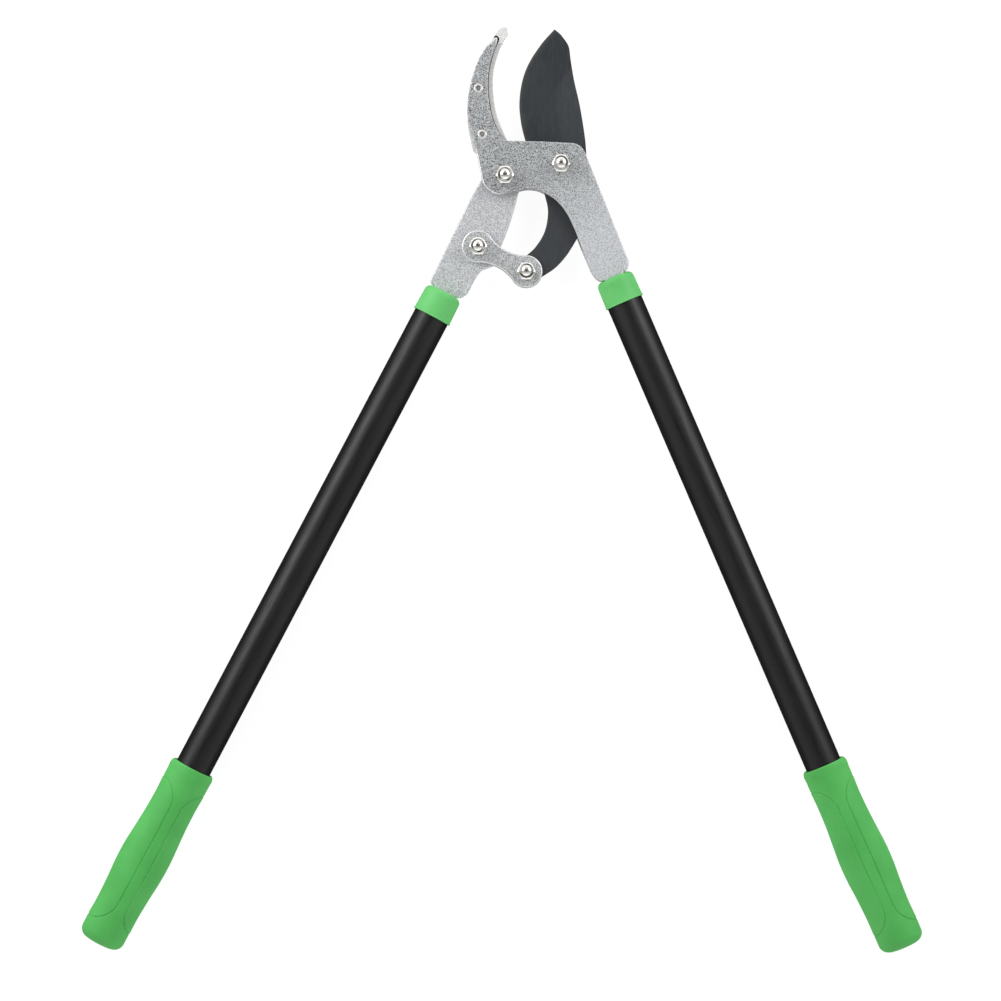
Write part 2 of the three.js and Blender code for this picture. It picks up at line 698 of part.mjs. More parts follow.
// The grip's half-widths at distances from its rim: it swells for the palm, more on its outer side,
// and draws in again before a small flare at the end.
const GRIP_STATIONS = [
  { at: 0, outer: 16.6, inner: 16.6 },
  { at: 1.6, outer: 17.5, inner: 17.4 },
  { at: 9, outer: 17.8, inner: 17.7 },
  { at: 30, outer: 17.4, inner: 17.1 },
  { at: 46, outer: 18, inner: 17.3 },
  { at: 60, outer: 19, inner: 18.1 },
  { at: 76, outer: 20.2, inner: 18.9 },
  { at: 90, outer: 20.2, inner: 18.6 },
  { at: 106, outer: 19.3, inner: 17.3 },
  { at: 126, outer: 18.9, inner: 16.3 },
  { at: 138, outer: 19.4, inner: 16.3 },
];
const GRIP_END_RADIUS = 7.5;
const GRIP_END_STEPS = 4;
const GRIP_SIDES = 24;

// The stations with the rounded end added, where each ring draws in by the same amount all round.
function gripRings() {
  const last = GRIP_STATIONS.at(-1);
  const start = GRIP_LENGTH - GRIP_END_RADIUS;
  const rings = GRIP_STATIONS.map((station) => ({ ...station, inset: 0 }));
  for (let i = 0; i <= GRIP_END_STEPS; i++) {
    const angle = ((Math.PI / 2) * i) / GRIP_END_STEPS;
    rings.push({
      at: start + GRIP_END_RADIUS * Math.sin(angle),
      outer: last.outer,
      inner: last.inner,
      inset: GRIP_END_RADIUS * (1 - Math.cos(angle)),
    });
  }
  return rings;
}

// One ring of the grip is an oval: the outer side is at -X on the right handle and at +X on the left.
function gripOval(handle, { at, outer, inner, inset }) {
  const fullness = Math.min(1, at / GRIP_SWELL_LENGTH);
  const thickness = THREE.MathUtils.lerp(GRIP_RIM_THICKNESS, GRIP_THICKNESS, fullness);
  const middle = point((-handle.side * (outer - inner)) / 2, 0);
  const reach = point((outer + inner) / 2 - inset, thickness / 2 - inset).multiplyScalar(-handle.side);
  return circlePoints(point(0, 0), 1, GRIP_SIDES).map((unit) => unit.multiply(reach).add(middle));
}

function grip(name, handle) {
  const rings = gripRings().map((ring) => ({ z: ring.at, points: gripOval(handle, ring) }));
  const body = stackedRings(rings).rotateX(-Math.PI / 2);
  const boreRadius = TUBE_RADIUS + FIT_GAP;
  const depth = GRIP_LENGTH - GRIP_END_WALL;
  const bore = new THREE.CylinderGeometry(boreRadius, boreRadius, depth + PAST, ROUND_STEPS);
  bore.translate(0, (depth - PAST) / 2, 0);
  return part(name, cut(body, bore).translate(0, handle.gripRim, 0), GREEN_GRIP);
}

// A handle group's own Y axis runs down the handle, and its X axis runs outwards on the left handle
// and inwards on the right one.
function handleGroup(handle, ...pieces) {
  const group = new THREE.Group();
  const foot = onHandle(handle, 0, 0);
  group.position.set(foot.x, foot.y, MIDDLE);
  group.rotation.z = Math.PI + handle.side * handle.tilt;
  return group.add(...pieces);
}

// ---------------------------------------------------------------------------------------------
// Assembly
// ---------------------------------------------------------------------------------------------

const rightHandle = handleGroup(
  RIGHT,
  collar("right_collar", RIGHT, hookLayer.top - MIDDLE),
  tube("right_tube", RIGHT),
  grip("right_grip", RIGHT),
  spacerPlug("right_tang_plug", RIGHT),
  tangPin("right_tang_pin", RIGHT),
);

const leftHandle = handleGroup(
  LEFT,
  collar("left_collar", LEFT, PLATE / 2),
  tube("left_tube", LEFT),
  grip("left_grip", LEFT),
  slottedPlug("left_tang_plug", LEFT),
  tangPin("left_tang_pin", LEFT),
);

const hookFrame = new THREE.Group().add(
  hookPlate(),
  rearCheekPlate(),
  hookInsert(),
  rivet("upper_rivet", RIVETS[0]),
  rivet("lower_rivet", RIVETS[1]),
  ...framePivot("main_pivot", MAIN_PIVOT),
  ...framePivot("handle_pivot", HANDLE_PIVOT),
  rightHandle,
);

const leverBody = new THREE.Group().add(
  leverPlate(),
  bush("lever_bush", HANDLE_PIVOT),
  ...linkPivot("lever_link", LEVER_LINK_PIVOT),
  leftHandle,
);

const bladeBody = new THREE.Group().add(blade(), bush("blade_bush", MAIN_PIVOT));

const linkBody = new THREE.Group().add(
  link("front_link", frontLinkLayer),
  link("rear_link", rearLinkLayer),
  ...linkPivot("blade_link", BLADE_LINK_PIVOT),
);

const loppers = new THREE.Group().add(hookFrame, leverBody, bladeBody, linkBody);

export default loppers;
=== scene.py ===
"""The looks of the compound-action bypass loppers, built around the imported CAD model.

Blender units are metres, in the CAD's frame: +Y points to the jaws and +Z to the acorn nuts. Places
and sizes are read from the CAD nodes. What the CAD doesn't hold, such as the radius of a rolled edge,
is given here in millimetres times MM.
"""
import json
import math

import bmesh
import bpy
import numpy as np
from mathutils import Matrix, Vector
from mathutils.geometry import delaunay_2d_cdt


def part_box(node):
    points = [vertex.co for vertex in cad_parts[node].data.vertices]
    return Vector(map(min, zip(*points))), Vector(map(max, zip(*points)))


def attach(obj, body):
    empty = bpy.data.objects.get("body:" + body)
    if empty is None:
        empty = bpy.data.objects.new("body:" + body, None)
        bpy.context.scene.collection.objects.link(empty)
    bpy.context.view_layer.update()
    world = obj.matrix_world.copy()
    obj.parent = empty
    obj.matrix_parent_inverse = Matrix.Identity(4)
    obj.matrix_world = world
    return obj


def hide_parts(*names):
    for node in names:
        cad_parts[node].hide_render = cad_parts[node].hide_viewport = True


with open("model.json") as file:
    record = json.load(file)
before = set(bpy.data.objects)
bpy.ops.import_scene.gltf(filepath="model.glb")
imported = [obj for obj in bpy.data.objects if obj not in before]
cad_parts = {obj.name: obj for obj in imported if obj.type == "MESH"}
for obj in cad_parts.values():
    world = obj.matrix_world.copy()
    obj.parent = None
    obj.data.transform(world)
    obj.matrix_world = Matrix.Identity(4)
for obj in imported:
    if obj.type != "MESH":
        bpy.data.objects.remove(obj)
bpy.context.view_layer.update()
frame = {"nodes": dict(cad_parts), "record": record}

MM = 0.001
NODES = frame["nodes"]

# Vertices of the CAD nodes closer than this are one vertex.
WELD = 0.005 * MM

# Outlines turn a corner where they bend by more than CORNER, and stay straight along edges longer than
# STRAIGHT. Elsewhere they are curves, with points about OUTLINE_STEP apart.
CORNER = math.radians(28)
STRAIGHT = 6.5 * MM
OUTLINE_STEP = 0.7 * MM

# Edges sharper than this are shaded as edges.
CREASE = math.radians(38)


# ---- Reading the CAD nodes ----


def welded(node):
    """A node's points, with those at the same place joined, and its triangles."""
    mesh = NODES[node].data
    mesh.calc_loop_triangles()
    places, points, numbers = {}, [], []
    for vertex in mesh.vertices:
        key = tuple(round(value / WELD) for value in vertex.co)
        if key not in places:
            places[key] = len(points)
            points.append(vertex.co)
        numbers.append(places[key])
    triangles = [tuple(numbers[i] for i in triangle.vertices) for triangle in mesh.loop_triangles]
    return np.array(points), triangles


def signed_area(loop):
    """An outline's area, positive where it runs anticlockwise."""
    x, y = loop.T
    return 0.5 * float(np.sum(x * np.roll(y, -1) - np.roll(x, -1) * y))


def face_outlines(node):
    """The closed outlines of a node's flat front face, largest first, with the material on their left."""
    points, triangles = welded(node)
    front = points[:, 2].max()
    level = {i for i, height in enumerate(points[:, 2]) if front - height < WELD}
    flat = [triangle for triangle in triangles if level.issuperset(triangle)]
    directed = {(t[i], t[(i + 1) % 3]) for t in flat for i in range(3)}
    following = {a: b for a, b in sorted(directed) if (b, a) not in directed}
    loops = []
    while following:
        start, at = following.popitem()
        loop = [start]
        while at != start:
            loop.append(at)
            at = following.pop(at)
        loops.append(points[loop][:, :2])
    return sorted(loops, key=lambda loop: -abs(signed_area(loop)))


def centre(node):
    """The middle of a node's box."""
    low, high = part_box(node)
    return (low + high) / 2


def axis(node):
    """Where the axis of a node that was turned about Z stands."""
    at = centre(node)
    return at.x, at.y


def heights(node):
    """The lowest and highest Z of a node."""
    low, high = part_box(node)
    return low.z, high.z


# ---- Outlines ----


def unit(vectors):
    """Vectors of length 1 with the same directions."""
    return vectors / np.maximum(np.linalg.norm(vectors, axis=1, keepdims=True), 1e-12)


def eased(t):
    """A smooth step from 0 at 0 to 1 at 1."""
    return t * t * (3 - 2 * t)


def curved(t, start, end, leaving, arriving):
    """A point at t from 0 to 1 on the curve that leaves its start and arrives at its end as told."""
    near = 2 * t**3 - 3 * t**2 + 1
    return near * start + (1 - near) * end + (t**3 - 2 * t**2 + t) * leaving + (t**3 - t**2) * arriving


def quarter_turn(steps):
    """Angles from 0 to a right angle, in even steps."""
    return [math.pi / 2 * i / steps for i in range(steps + 1)]


def ring_angles(sides):
    """Angles all the way round, in even steps."""
    return np.arange(sides) * 2 * math.pi / sides


def smoothed(loop, straight=STRAIGHT):
    """A closed outline redrawn as a smooth curve through its points, with corners and straights kept."""
    edges = np.roll(loop, -1, axis=0) - loop
    lengths = np.linalg.norm(edges, axis=1)
    directions = unit(edges)
    arriving, arriving_length = np.roll(directions, 1, axis=0), np.roll(lengths, 1)
    bends = np.arccos(np.clip(np.sum(directions * arriving, axis=1), -1, 1))
    blended = unit(arriving * lengths[:, None] + directions * arriving_length[:, None])
    blended[lengths > straight] = directions[lengths > straight]
    blended[arriving_length > straight] = arriving[arriving_length > straight]
    drawn = []
    for i, length in enumerate(lengths):
        j = (i + 1) % len(loop)
        leave = directions[i] if bends[i] > CORNER else blended[i]
        arrive = directions[i] if bends[j] > CORNER else blended[j]
        count = 1 if length > straight else max(1, round(length / OUTLINE_STEP))
        for t in np.arange(count) / count:
            drawn.append(curved(t, loop[i], loop[j], length * leave, length * arrive))
    return np.clip(drawn, loop.min(axis=0), loop.max(axis=0))


def outer_outline(node):
    """The smoothed outer outline of a node's front face."""
    return smoothed(face_outlines(node)[0])


# How far a mitre at a sharp corner may stretch, as the least cosine sum that it is divided by.
MITRE_LIMIT = 0.4


def inset(loop, distance):
    """An outline moved towards the material on its left, by one distance or one for each point."""
    leaving = unit(np.roll(loop, -1, axis=0) - loop)
    arriving = np.roll(leaving, 1, axis=0)
    left = np.stack([-leaving[:, 1] - arriving[:, 1], leaving[:, 0] + arriving[:, 0]], axis=1)
    mitre = np.maximum(1 + np.sum(leaving * arriving, axis=1), MITRE_LIMIT)
    return loop + left / mitre[:, None] * np.reshape(distance, (-1, 1))


def distance_to(points, line):
    """The distance from each point to an open line of points."""
    start, along = line[:-1], np.diff(line, axis=0)
    offset = points[:, None] - start
    share = np.sum(offset * along, axis=2) / np.sum(along * along, axis=1)
    nearest = np.clip(share, 0, 1)[..., None] * along
    return np.linalg.norm(offset - nearest, axis=2).min(axis=1)


def inside(points, loops):
    """Which points lie in the area that the outlines enclose, holes left out."""
    x, y = points[:, 0, None], points[:, 1, None]
    crossings = np.zeros(len(points), int)
    for loop in loops:
        (x0, y0), (x1, y1) = loop.T, np.roll(loop, -1, axis=0).T
        spans = (y0 > y) != (y1 > y)
        rise = np.where(y1 == y0, 1, y1 - y0)
        crossings += np.sum(spans & (x < x0 + (y - y0) / rise * (x1 - x0)), axis=1)
    return crossings % 2 == 1


# ---- Mesh building ----


class Shell:
    """Vertices and faces of one piece, gathered before they become a mesh."""

    def __init__(self):
        self.vertices = []
        self.highlight_rims = []
        self.faces = []
        self.paints = []

    def add_ring(self, points, rim=0.0):
        """Adds points. Rim is 1 where they are on an edge that gets the bright painted highlight."""
        start = len(self.vertices)
        self.vertices.extend(map(tuple, points))
        self.highlight_rims.extend(np.broadcast_to(rim, len(points)))
        return np.arange(start, start + len(points))

    def add_level(self, loop, z, rim=0.0):
        """Adds an outline's points at one height, or at a height for each."""
        return self.add_ring(np.column_stack([loop, np.broadcast_to(z, len(loop))]), rim)

    def add_faces(self, faces, paint=0):
        """Adds faces, all with the material of one number."""
        self.faces.extend(tuple(int(i) for i in face) for face in faces)
        self.paints.extend([paint] * len(faces))

    def join_rings(self, lower, upper, paint=0):
        """A band of quads between two closed rings, which run anticlockwise seen from above."""
        following = np.roll(lower, -1), np.roll(upper, -1)
        self.add_faces(np.stack([lower, following[0], following[1], upper], axis=1), paint)

    def close_with_point(self, ring, point, upwards):
        """Closes a ring with triangles that meet at a point."""
        apex = self.add_ring([point])[0]
        pairs = zip(ring, np.roll(ring, -1))
        self.add_faces([(a, b, apex) if upwards else (b, a, apex) for a, b in pairs])

    def cap(self, rings, height, upwards, extra=()):
        """Fills the area between outlines that are already rings. Extra points shape its inside."""
        loops = [np.array([self.vertices[i][:2] for i in ring]) for ring in rings]
        known = np.concatenate(rings)
        flat = np.concatenate([*loops, np.reshape(extra, (-1, 2))])
        edges, start = [], 0
        for loop in loops:
            numbers = np.arange(start, start + len(loop))
            edges += list(zip(numbers.tolist(), np.roll(numbers, -1).tolist()))
            start += len(loop)
        made, _, triangles, origins, _, _ = delaunay_2d_cdt(
            [Vector(at) for at in flat], edges, [], 0, WELD / 100
        )
        numbers = []
        for at, origin in zip(made, origins):
            old = origin[0] if origin else len(known)
            numbers.append(known[old] if old < len(known) else self.add_ring([(*at, height(at))])[0])
        corners = np.array([[made[i] for i in triangle] for triangle in triangles])
        kept = inside(corners.mean(axis=1), loops)
        chosen = [triangle for triangle, keep in zip(triangles, kept) if keep]
        turned = chosen if upwards else [triangle[::-1] for triangle in chosen]
        self.add_faces([[numbers[i] for i in triangle] for triangle in turned])

    def build(self, name, materials, place=Matrix.Identity(4)):
        """Makes the piece. Its own frame, before it is put in its place, is kept as an attribute."""
        mesh = bpy.data.meshes.new(name)
        mesh.from_pydata([place @ Vector(vertex) for vertex in self.vertices], [], self.faces)
        own_frame = mesh.attributes.new("own_frame", "FLOAT_VECTOR", "POINT")
        own_frame.data.foreach_set("vector", np.ravel(self.vertices))
        rim = mesh.attributes.new("rim", "FLOAT", "POINT")
        rim.data.foreach_set("value", self.highlight_rims)
        for material in materials:
            mesh.materials.append(material)
        mesh.polygons.foreach_set("material_index", self.paints)
        mesh.shade_smooth()
        mesh.set_sharp_from_angle(angle=CREASE)
        piece = bpy.data.objects.new(name, mesh)
        bpy.context.scene.collection.objects.link(piece)
        weights = piece.modifiers.new("flat faces stay flat", "WEIGHTED_NORMAL")
        weights.keep_sharp = True
        return piece


def stands_for(piece, body, slot, *nodes):
    """A piece rides on a body and is shown in place of CAD nodes. Its slot is not used."""
    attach(piece, body)
    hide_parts(*nodes)
    return piece


EDGE_STEPS = 5


def edge_levels(bottom, top, rear_radius, front_radius):
    """Insets and heights up the side of a plate whose rear and front edges are rounded."""
    angles = quarter_turn(EDGE_STEPS)
    rear = [(rear_radius * (1 - math.sin(a)), bottom + rear_radius * (1 - math.cos(a))) for a in angles]
    front = [(front_radius * (1 - math.cos(a)), top - front_radius * (1 - math.sin(a))) for a in angles]
    return rear + front


def add_wall(shell, loop, levels, edge_highlight=0.0):
    """The side of a plate along one outline. Gives its first and last ring."""
    rings = []
    for number, (distance, z) in enumerate(levels):
        # Rings on the front edge's rounding carry the bright painted highlight.
        rim = edge_highlight if EDGE_STEPS < number < len(levels) - 1 else 0.0
        rings.append(shell.add_level(inset(loop, distance), z, rim))
    for lower, upper in zip(rings, rings[1:]):
        shell.join_rings(lower, upper)
    return rings[0], rings[-1]


def plate(node, material, rear_radius, front_radius, edge_highlight=lambda loop: 0.0, loops=None):
    """A CAD plate redrawn with rounded edges, which get a bright painted highlight as a rule says."""
    bottom, top = heights(node)
    levels = edge_levels(bottom, top, rear_radius, front_radius)
    shell = Shell()
    loops = loops or list(map(smoothed, face_outlines(node)))
    firsts, lasts = zip(*[add_wall(shell, loop, levels, edge_highlight(loop)) for loop in loops])
    shell.cap(firsts, lambda at: bottom, False)
    shell.cap(lasts, lambda at: top, True)
    return shell.build(node + "_finished", [material])


# How many sides round pieces have.
SIDES = 96


def circle(radius, middle):
    """Points round a middle. The radius is one number or one for each side."""
    angles = ring_angles(SIDES)
    return np.column_stack([middle[0] + radius * np.cos(angles), middle[1] + radius * np.sin(angles)])


def turned(profile, paints=(), middle=(0, 0), closed=False):
    """A solid of rings, given as (radius, height) from the bottom up its outside.

    A closed profile comes back down the bore to where it starts. An open one ends in flat centres. Paints
    are the numbers of the bands that take the second material.
    """
    shell = Shell()
    rings = [shell.add_level(circle(radius, middle), z) for radius, z in profile]
    bands = list(zip(rings, rings[1:] + rings[:1] if closed else rings[1:]))
    for number, (lower, upper) in enumerate(bands):
        shell.join_rings(lower, upper, 1 if number in paints else 0)
    if not closed:
        shell.close_with_point(rings[0], (*middle, profile[0][1]), False)
        shell.close_with_point(rings[-1], (*middle, profile[-1][1]), True)
    return shell


def hoop(inner, outer, low, high, chamfer, middle=(0, 0)):
    """A ring or a tube whose outer edges are chamfered."""
    profile = [
        (inner, low),
        (outer - chamfer, low),
        (outer, low + chamfer),
        (outer, high - chamfer),
        (outer - chamfer, high),
        (inner, high),
    ]
    return turned(profile, middle=middle, closed=True)


# ---- Materials ----


def srgb(red, green, blue):
    """A colour from screen values between 0 and 255."""
    def linear(value):
        share = value / 255
        return share / 12.92 if share <= 0.04045 else ((share + 0.055) / 1.055) ** 2.4

    return (linear(red), linear(green), linear(blue), 1)


def add_node(tree, kind, inputs, **settings):
    """Adds a shader node and gives its outputs. An input is a value, or the output that feeds it."""
    node = tree.nodes.new("ShaderNode" + kind)
    for name, value in settings.items():
        setattr(node, name, value)
    for name, value in inputs.items():
        if isinstance(value, bpy.types.NodeSocket):
            tree.links.new(value, node.inputs[name])
        else:
            node.inputs[name].default_value = value
    return node.outputs


# Noise lies mostly between these values.
NOISE_LOW = 0.3
NOISE_HIGH = 0.7


class Paint:
    """A Principled material with helpers that add its procedural nodes."""

    def __init__(self, name, roughness=0.5, metallic=0.0, specular=0.5, own_frame=False):
        self.material = bpy.data.materials.new(name)
        self.material.use_nodes = True
        self.tree = self.material.node_tree
        self.shader = self.tree.nodes["Principled BSDF"].inputs
        self.shader["Roughness"].default_value = roughness
        self.shader["Metallic"].default_value = metallic
        self.shader["Specular IOR Level"].default_value = specular
        if own_frame:
            self.place = self.add("Attribute", {}, attribute_name="own_frame")["Vector"]
        else:
            self.place = self.add("TexCoord", {})["Object"]

    def add(self, kind, inputs, **settings):
        """Adds a node to the material and gives its outputs."""
        return add_node(self.tree, kind, inputs, **settings)

    def feed(self, name, output):
        """Links an output to one of the shader's inputs."""
        self.tree.links.new(output, self.shader[name])

    def stretched(self, scale):
        """The place on the piece, scaled so that a pattern stretches."""
        return self.add("Mapping", {"Vector": self.place, "Scale": scale})["Vector"]

    def noise(self, size, detail=2.0, roughness=0.5, place=None):
        """Noise from 0 to 1 with features of about a size in metres."""
        inputs = {"Vector": place or self.place, "Scale": 1 / size, "Detail": detail, "Roughness": roughness}
        return self.add("TexNoise", inputs)["Fac"]

    def cells(self, size, smoothness=0.6):
        """Rounded cells of about a size in metres, 0 in their middles."""
        inputs = {"Vector": self.place, "Scale": 1 / size, "Smoothness": smoothness}
        return self.add("TexVoronoi", inputs, feature="SMOOTH_F1")["Distance"]

    def specks(self, size):
        """A random value from 0 to 1 in each cell of about a size in metres."""
        colour = self.add("TexVoronoi", {"Vector": self.place, "Scale": 1 / size})["Color"]
        return self.add("SeparateColor", {"Color": colour})["Red"]

    def remap(self, value, low=NOISE_LOW, high=NOISE_HIGH, to_low=0.0, to_high=1.0):
        """A smooth change from one number to another as a value goes from low to high."""
        inputs = {"Value": value, "From Min": low, "From Max": high, "To Min": to_low, "To Max": to_high}
        return self.add("MapRange", inputs, interpolation_type="SMOOTHSTEP")["Result"]

    def total(self, *pairs):
        """The sum of values that are each multiplied by a number."""
        result = 0
        for value, share in pairs:
            result = self.add("Math", {0: value, 1: share, 2: result}, operation="MULTIPLY_ADD")["Value"]
        return result

    def along(self, direction):
        """The distance along a direction, in metres."""
        return self.add("VectorMath", {0: self.place, 1: direction}, operation="DOT_PRODUCT")["Value"]

    def attribute(self, name):
        """A value that the mesh holds for each of its points."""
        return self.add("Attribute", {}, attribute_name=name)["Fac"]

    def mix(self, share, a, b):
        """Colour a where the share is 0 and colour b where it is 1."""
        return self.add("Mix", {"Factor": share, "A": a, "B": b}, data_type="RGBA")["Result"]

    def colour(self, share, a, b):
        """Sets the base colour to a mix."""
        self.feed("Base Color", self.mix(share, a, b))

    def roughness(self, value, low, high):
        """Makes the surface rougher where noise is high."""
        self.feed("Roughness", self.remap(value, to_low=low, to_high=high))

    def bump(self, value, depth, strength=1.0, below=None):
        """Raises the surface by a value times a depth, on top of another bump if there is one."""
        inputs = {"Height": value, "Distance": depth, "Strength": strength}
        if below:
            inputs["Normal"] = below
        normal = self.add("Bump", inputs)["Normal"]
        self.feed("Normal", normal)
        return normal


# The speckle is dimples, flecks and specks in these shares, and lies mostly this far about its mean.
DIMPLE_SHARE = 0.25
FLECK_SHARE = 0.55
SPECK_SHARE = 0.22
SPECKLE_MEAN = 0.475
SPECKLE_SPREAD = 0.13

# Clouds lighten the paint by up to this. At a rim the paint is a bright painted highlight, and more
# metallic.
CLOUD_TONE = 0.12
RIM_HIGHLIGHT_COLOUR = (0.93, 0.93, 0.93, 1)
PAINT_METALLIC = 0.25
RIM_METALLIC = 0.6


def hammertone(name, dark, pale, tone=None, contrast=1.0):
    """Silver paint that dried in small dimples.

    Dark and pale are each a lighter and a deeper colour. The tone says how far a place is from dark to pale.
    """
    paint = Paint(name)
    dimples = paint.cells(0.7 * MM)
    flecks = paint.noise(0.5 * MM, detail=2, roughness=0.6)
    clouds = paint.noise(14 * MM, detail=2)
    specks = paint.specks(0.55 * MM)
    speckle = paint.total((dimples, DIMPLE_SHARE), (flecks, FLECK_SHARE), (specks, SPECK_SHARE))
    spread = SPECKLE_SPREAD / contrast
    grain = paint.remap(speckle, SPECKLE_MEAN - spread, SPECKLE_MEAN + spread)
    drift = paint.remap(clouds, to_high=CLOUD_TONE)
    base = paint.total((drift, 1), (tone(paint), 1)) if tone else drift
    lighter = paint.mix(base, dark[0], pale[0])
    deeper = paint.mix(base, dark[1], pale[1])
    # A bright painted highlight along the rounded front edges, where the rim attribute is 1.
    rim = paint.attribute("rim")
    paint.colour(rim, paint.mix(grain, deeper, lighter), RIM_HIGHLIGHT_COLOUR)
    paint.feed("Metallic", paint.remap(rim, 0, 1, PAINT_METALLIC, RIM_METALLIC))
    paint.roughness(flecks, 0.34, 0.5)
    first = paint.bump(dimples, 0.06 * MM, 0.6 * contrast)
    paint.bump(flecks, 0.03 * MM, 0.5, below=first)
    return paint.material


# The right arm's direction, and where along it the hook plate's painted shading starts and ends: painted
# shade at the hook, painted light down the arm.
ARM_DIRECTION = (0.62, -0.78, 0)
ARM_DARK = -20 * MM
ARM_PALE = 80 * MM


def hook_painted_shading(paint):
    """Painted shading: 0 (shaded) at the hook and the handle pivot, 1 (lit) down the right arm."""
    return paint.remap(paint.along(ARM_DIRECTION), ARM_DARK, ARM_PALE)


def blade_coating():
    """A dark satin coating, a little paler where the blade is flat and along its honed edge."""
    paint = Paint("dark_blade_coating", metallic=0.2, specular=0.4)
    haze = paint.noise(30 * MM, detail=2)
    streaks = paint.noise(1.2 * MM, detail=3, place=paint.stretched((1, 0.12, 1)))
    base = paint.mix(paint.remap(haze, 0.35, 0.65), srgb(53, 57, 61), srgb(58, 62, 66))
    flat = paint.mix(paint.attribute("unground"), base, srgb(66, 69, 72))
    edge = paint.mix(paint.attribute("honed"), flat, srgb(75, 76, 72))
    paint.colour(paint.remap(streaks, 0.45, 0.8, 0, 0.25), edge, srgb(74, 77, 81))
    paint.roughness(streaks, 0.4, 0.52)
    paint.bump(streaks, 0.01 * MM, 0.5)
    return paint.material


def ground_steel():
    """Bright ground steel with fine slanted grinding lines."""
    paint = Paint("bright_ground_steel", metallic=0.2)
    place = paint.stretched((1, 0.35, 1))
    lines = paint.noise(0.8 * MM, detail=3, roughness=0.6, place=place)
    stains = paint.noise(9 * MM, detail=3)
    light = paint.mix(paint.remap(lines, 0.35, 0.65), srgb(232, 231, 229), srgb(252, 251, 249))
    paint.colour(paint.remap(stains, 0.5, 0.75, 0, 0.4), light, srgb(218, 216, 212))
    paint.roughness(lines, 0.3, 0.46)
    paint.bump(lines, 0.02 * MM, 0.7)
    return paint.material


def nickel(name, colour, shade, low, high):
    """Plated metal with faint smears, and a roughness from low to high."""
    paint = Paint(name, metallic=1.0)
    smears = paint.noise(2.2 * MM, detail=3)
    paint.colour(paint.remap(smears, 0.35, 0.7), colour, shade)
    paint.roughness(smears, low, high)
    paint.bump(paint.noise(0.5 * MM, detail=2), 0.004 * MM, 0.4)
    return paint.material


def tube_paint():
    """Satin black paint with a faint grain and dust-fine scuffs along the tube."""
    paint = Paint("satin_black_paint", specular=0.5, own_frame=True)
    grain = paint.noise(0.55 * MM, detail=3, roughness=0.6)
    scuffs = paint.noise(1.6 * MM, detail=4, roughness=0.65, place=paint.stretched((1, 0.06, 1)))
    shade = paint.noise(45 * MM, detail=2)
    base = paint.mix(paint.remap(shade), srgb(13, 13, 14), srgb(18, 18, 20))
    paint.colour(paint.remap(scuffs, 0.6, 0.85, 0, 0.35), base, srgb(30, 31, 33))
    paint.roughness(scuffs, 0.36, 0.5)
    paint.bump(grain, 0.012 * MM, 0.6)
    return paint.material


# How bright the grain's hollows are beside the deep colour.
GRAIN_SHADE = 0.82


def moulded(name, deep, bright, roughness, grain_size, grain_depth):
    """Coloured plastic or rubber with a fine eroded grain and slow changes of tone, painted darker as shade
    where it turns away from the view.
    """
    paint = Paint(name, specular=0.4)
    slow = paint.noise(28 * MM, detail=3)
    grain = paint.noise(grain_size, detail=4, roughness=0.65)
    base = paint.mix(paint.remap(slow), deep, bright)
    darker = tuple(GRAIN_SHADE * value for value in deep[:3]) + (1,)
    grained = paint.mix(paint.remap(grain, 0.35, 0.52, 0.35, 0), base, darker)
    # Painted shade: the colour turns darker where the surface faces away from the view.
    facing_shade = paint.add("LayerWeight", {})["Facing"]
    paint.colour(paint.remap(facing_shade, 0.72, 1, 0, 0.55), grained, darker)
    paint.roughness(grain, *roughness)
    paint.bump(grain, grain_depth, 0.7)
    return paint.material


def plain(name, deep, bright, metallic, low, high):
    """A mottled finish with a roughness from low to high."""
    paint = Paint(name, metallic=metallic)
    mottle = paint.noise(1.5 * MM, detail=3)
    paint.colour(paint.remap(mottle), deep, bright)
    paint.roughness(mottle, low, high)
    paint.bump(mottle, 0.02 * MM, 0.5)
    return paint.material


# Each silver is a lighter colour and a deeper one, which its speckle mixes.
SILVER_DARK = (srgb(210, 213, 215), srgb(62, 65, 67))
SILVER_PALE = (srgb(229, 232, 235), srgb(182, 184, 187))
SILVER_LEVER = (srgb(238, 240, 243), srgb(160, 162, 165))
SILVER_MIDDLE = (srgb(232, 234, 236), srgb(112, 114, 116))

# The hook plate's paint is mixed darker at the hook and paler down its arm, as painted shade and light.
HOOK_PAINT = hammertone("silver_hammertone_hook", SILVER_DARK, SILVER_PALE, hook_painted_shading, 1.3)
LINK_PAINT = hammertone("silver_hammertone_link", SILVER_MIDDLE, SILVER_PALE)
LEVER_PAINT = hammertone("pale_silver_hammertone", SILVER_LEVER, SILVER_LEVER)
BLADE_COATING = blade_coating()
GROUND_STEEL = ground_steel()
NICKEL = nickel("bright_nickel", (0.9, 0.88, 0.84, 1), (0.82, 0.8, 0.76, 1), 0.08, 0.2)
RIVET_STEEL = plain("rivet_steel", (0.86, 0.85, 0.83, 1), (0.95, 0.94, 0.92, 1), 0.6, 0.26, 0.4)
# The rivets' dimples are painted dark: painted shade in the hollow.
DIMPLE_SHADE_STEEL = plain("rivet_dimple_painted_shade", (0.2, 0.2, 0.2, 1), (0.34, 0.33, 0.32, 1), 0.6, 0.3, 0.5)
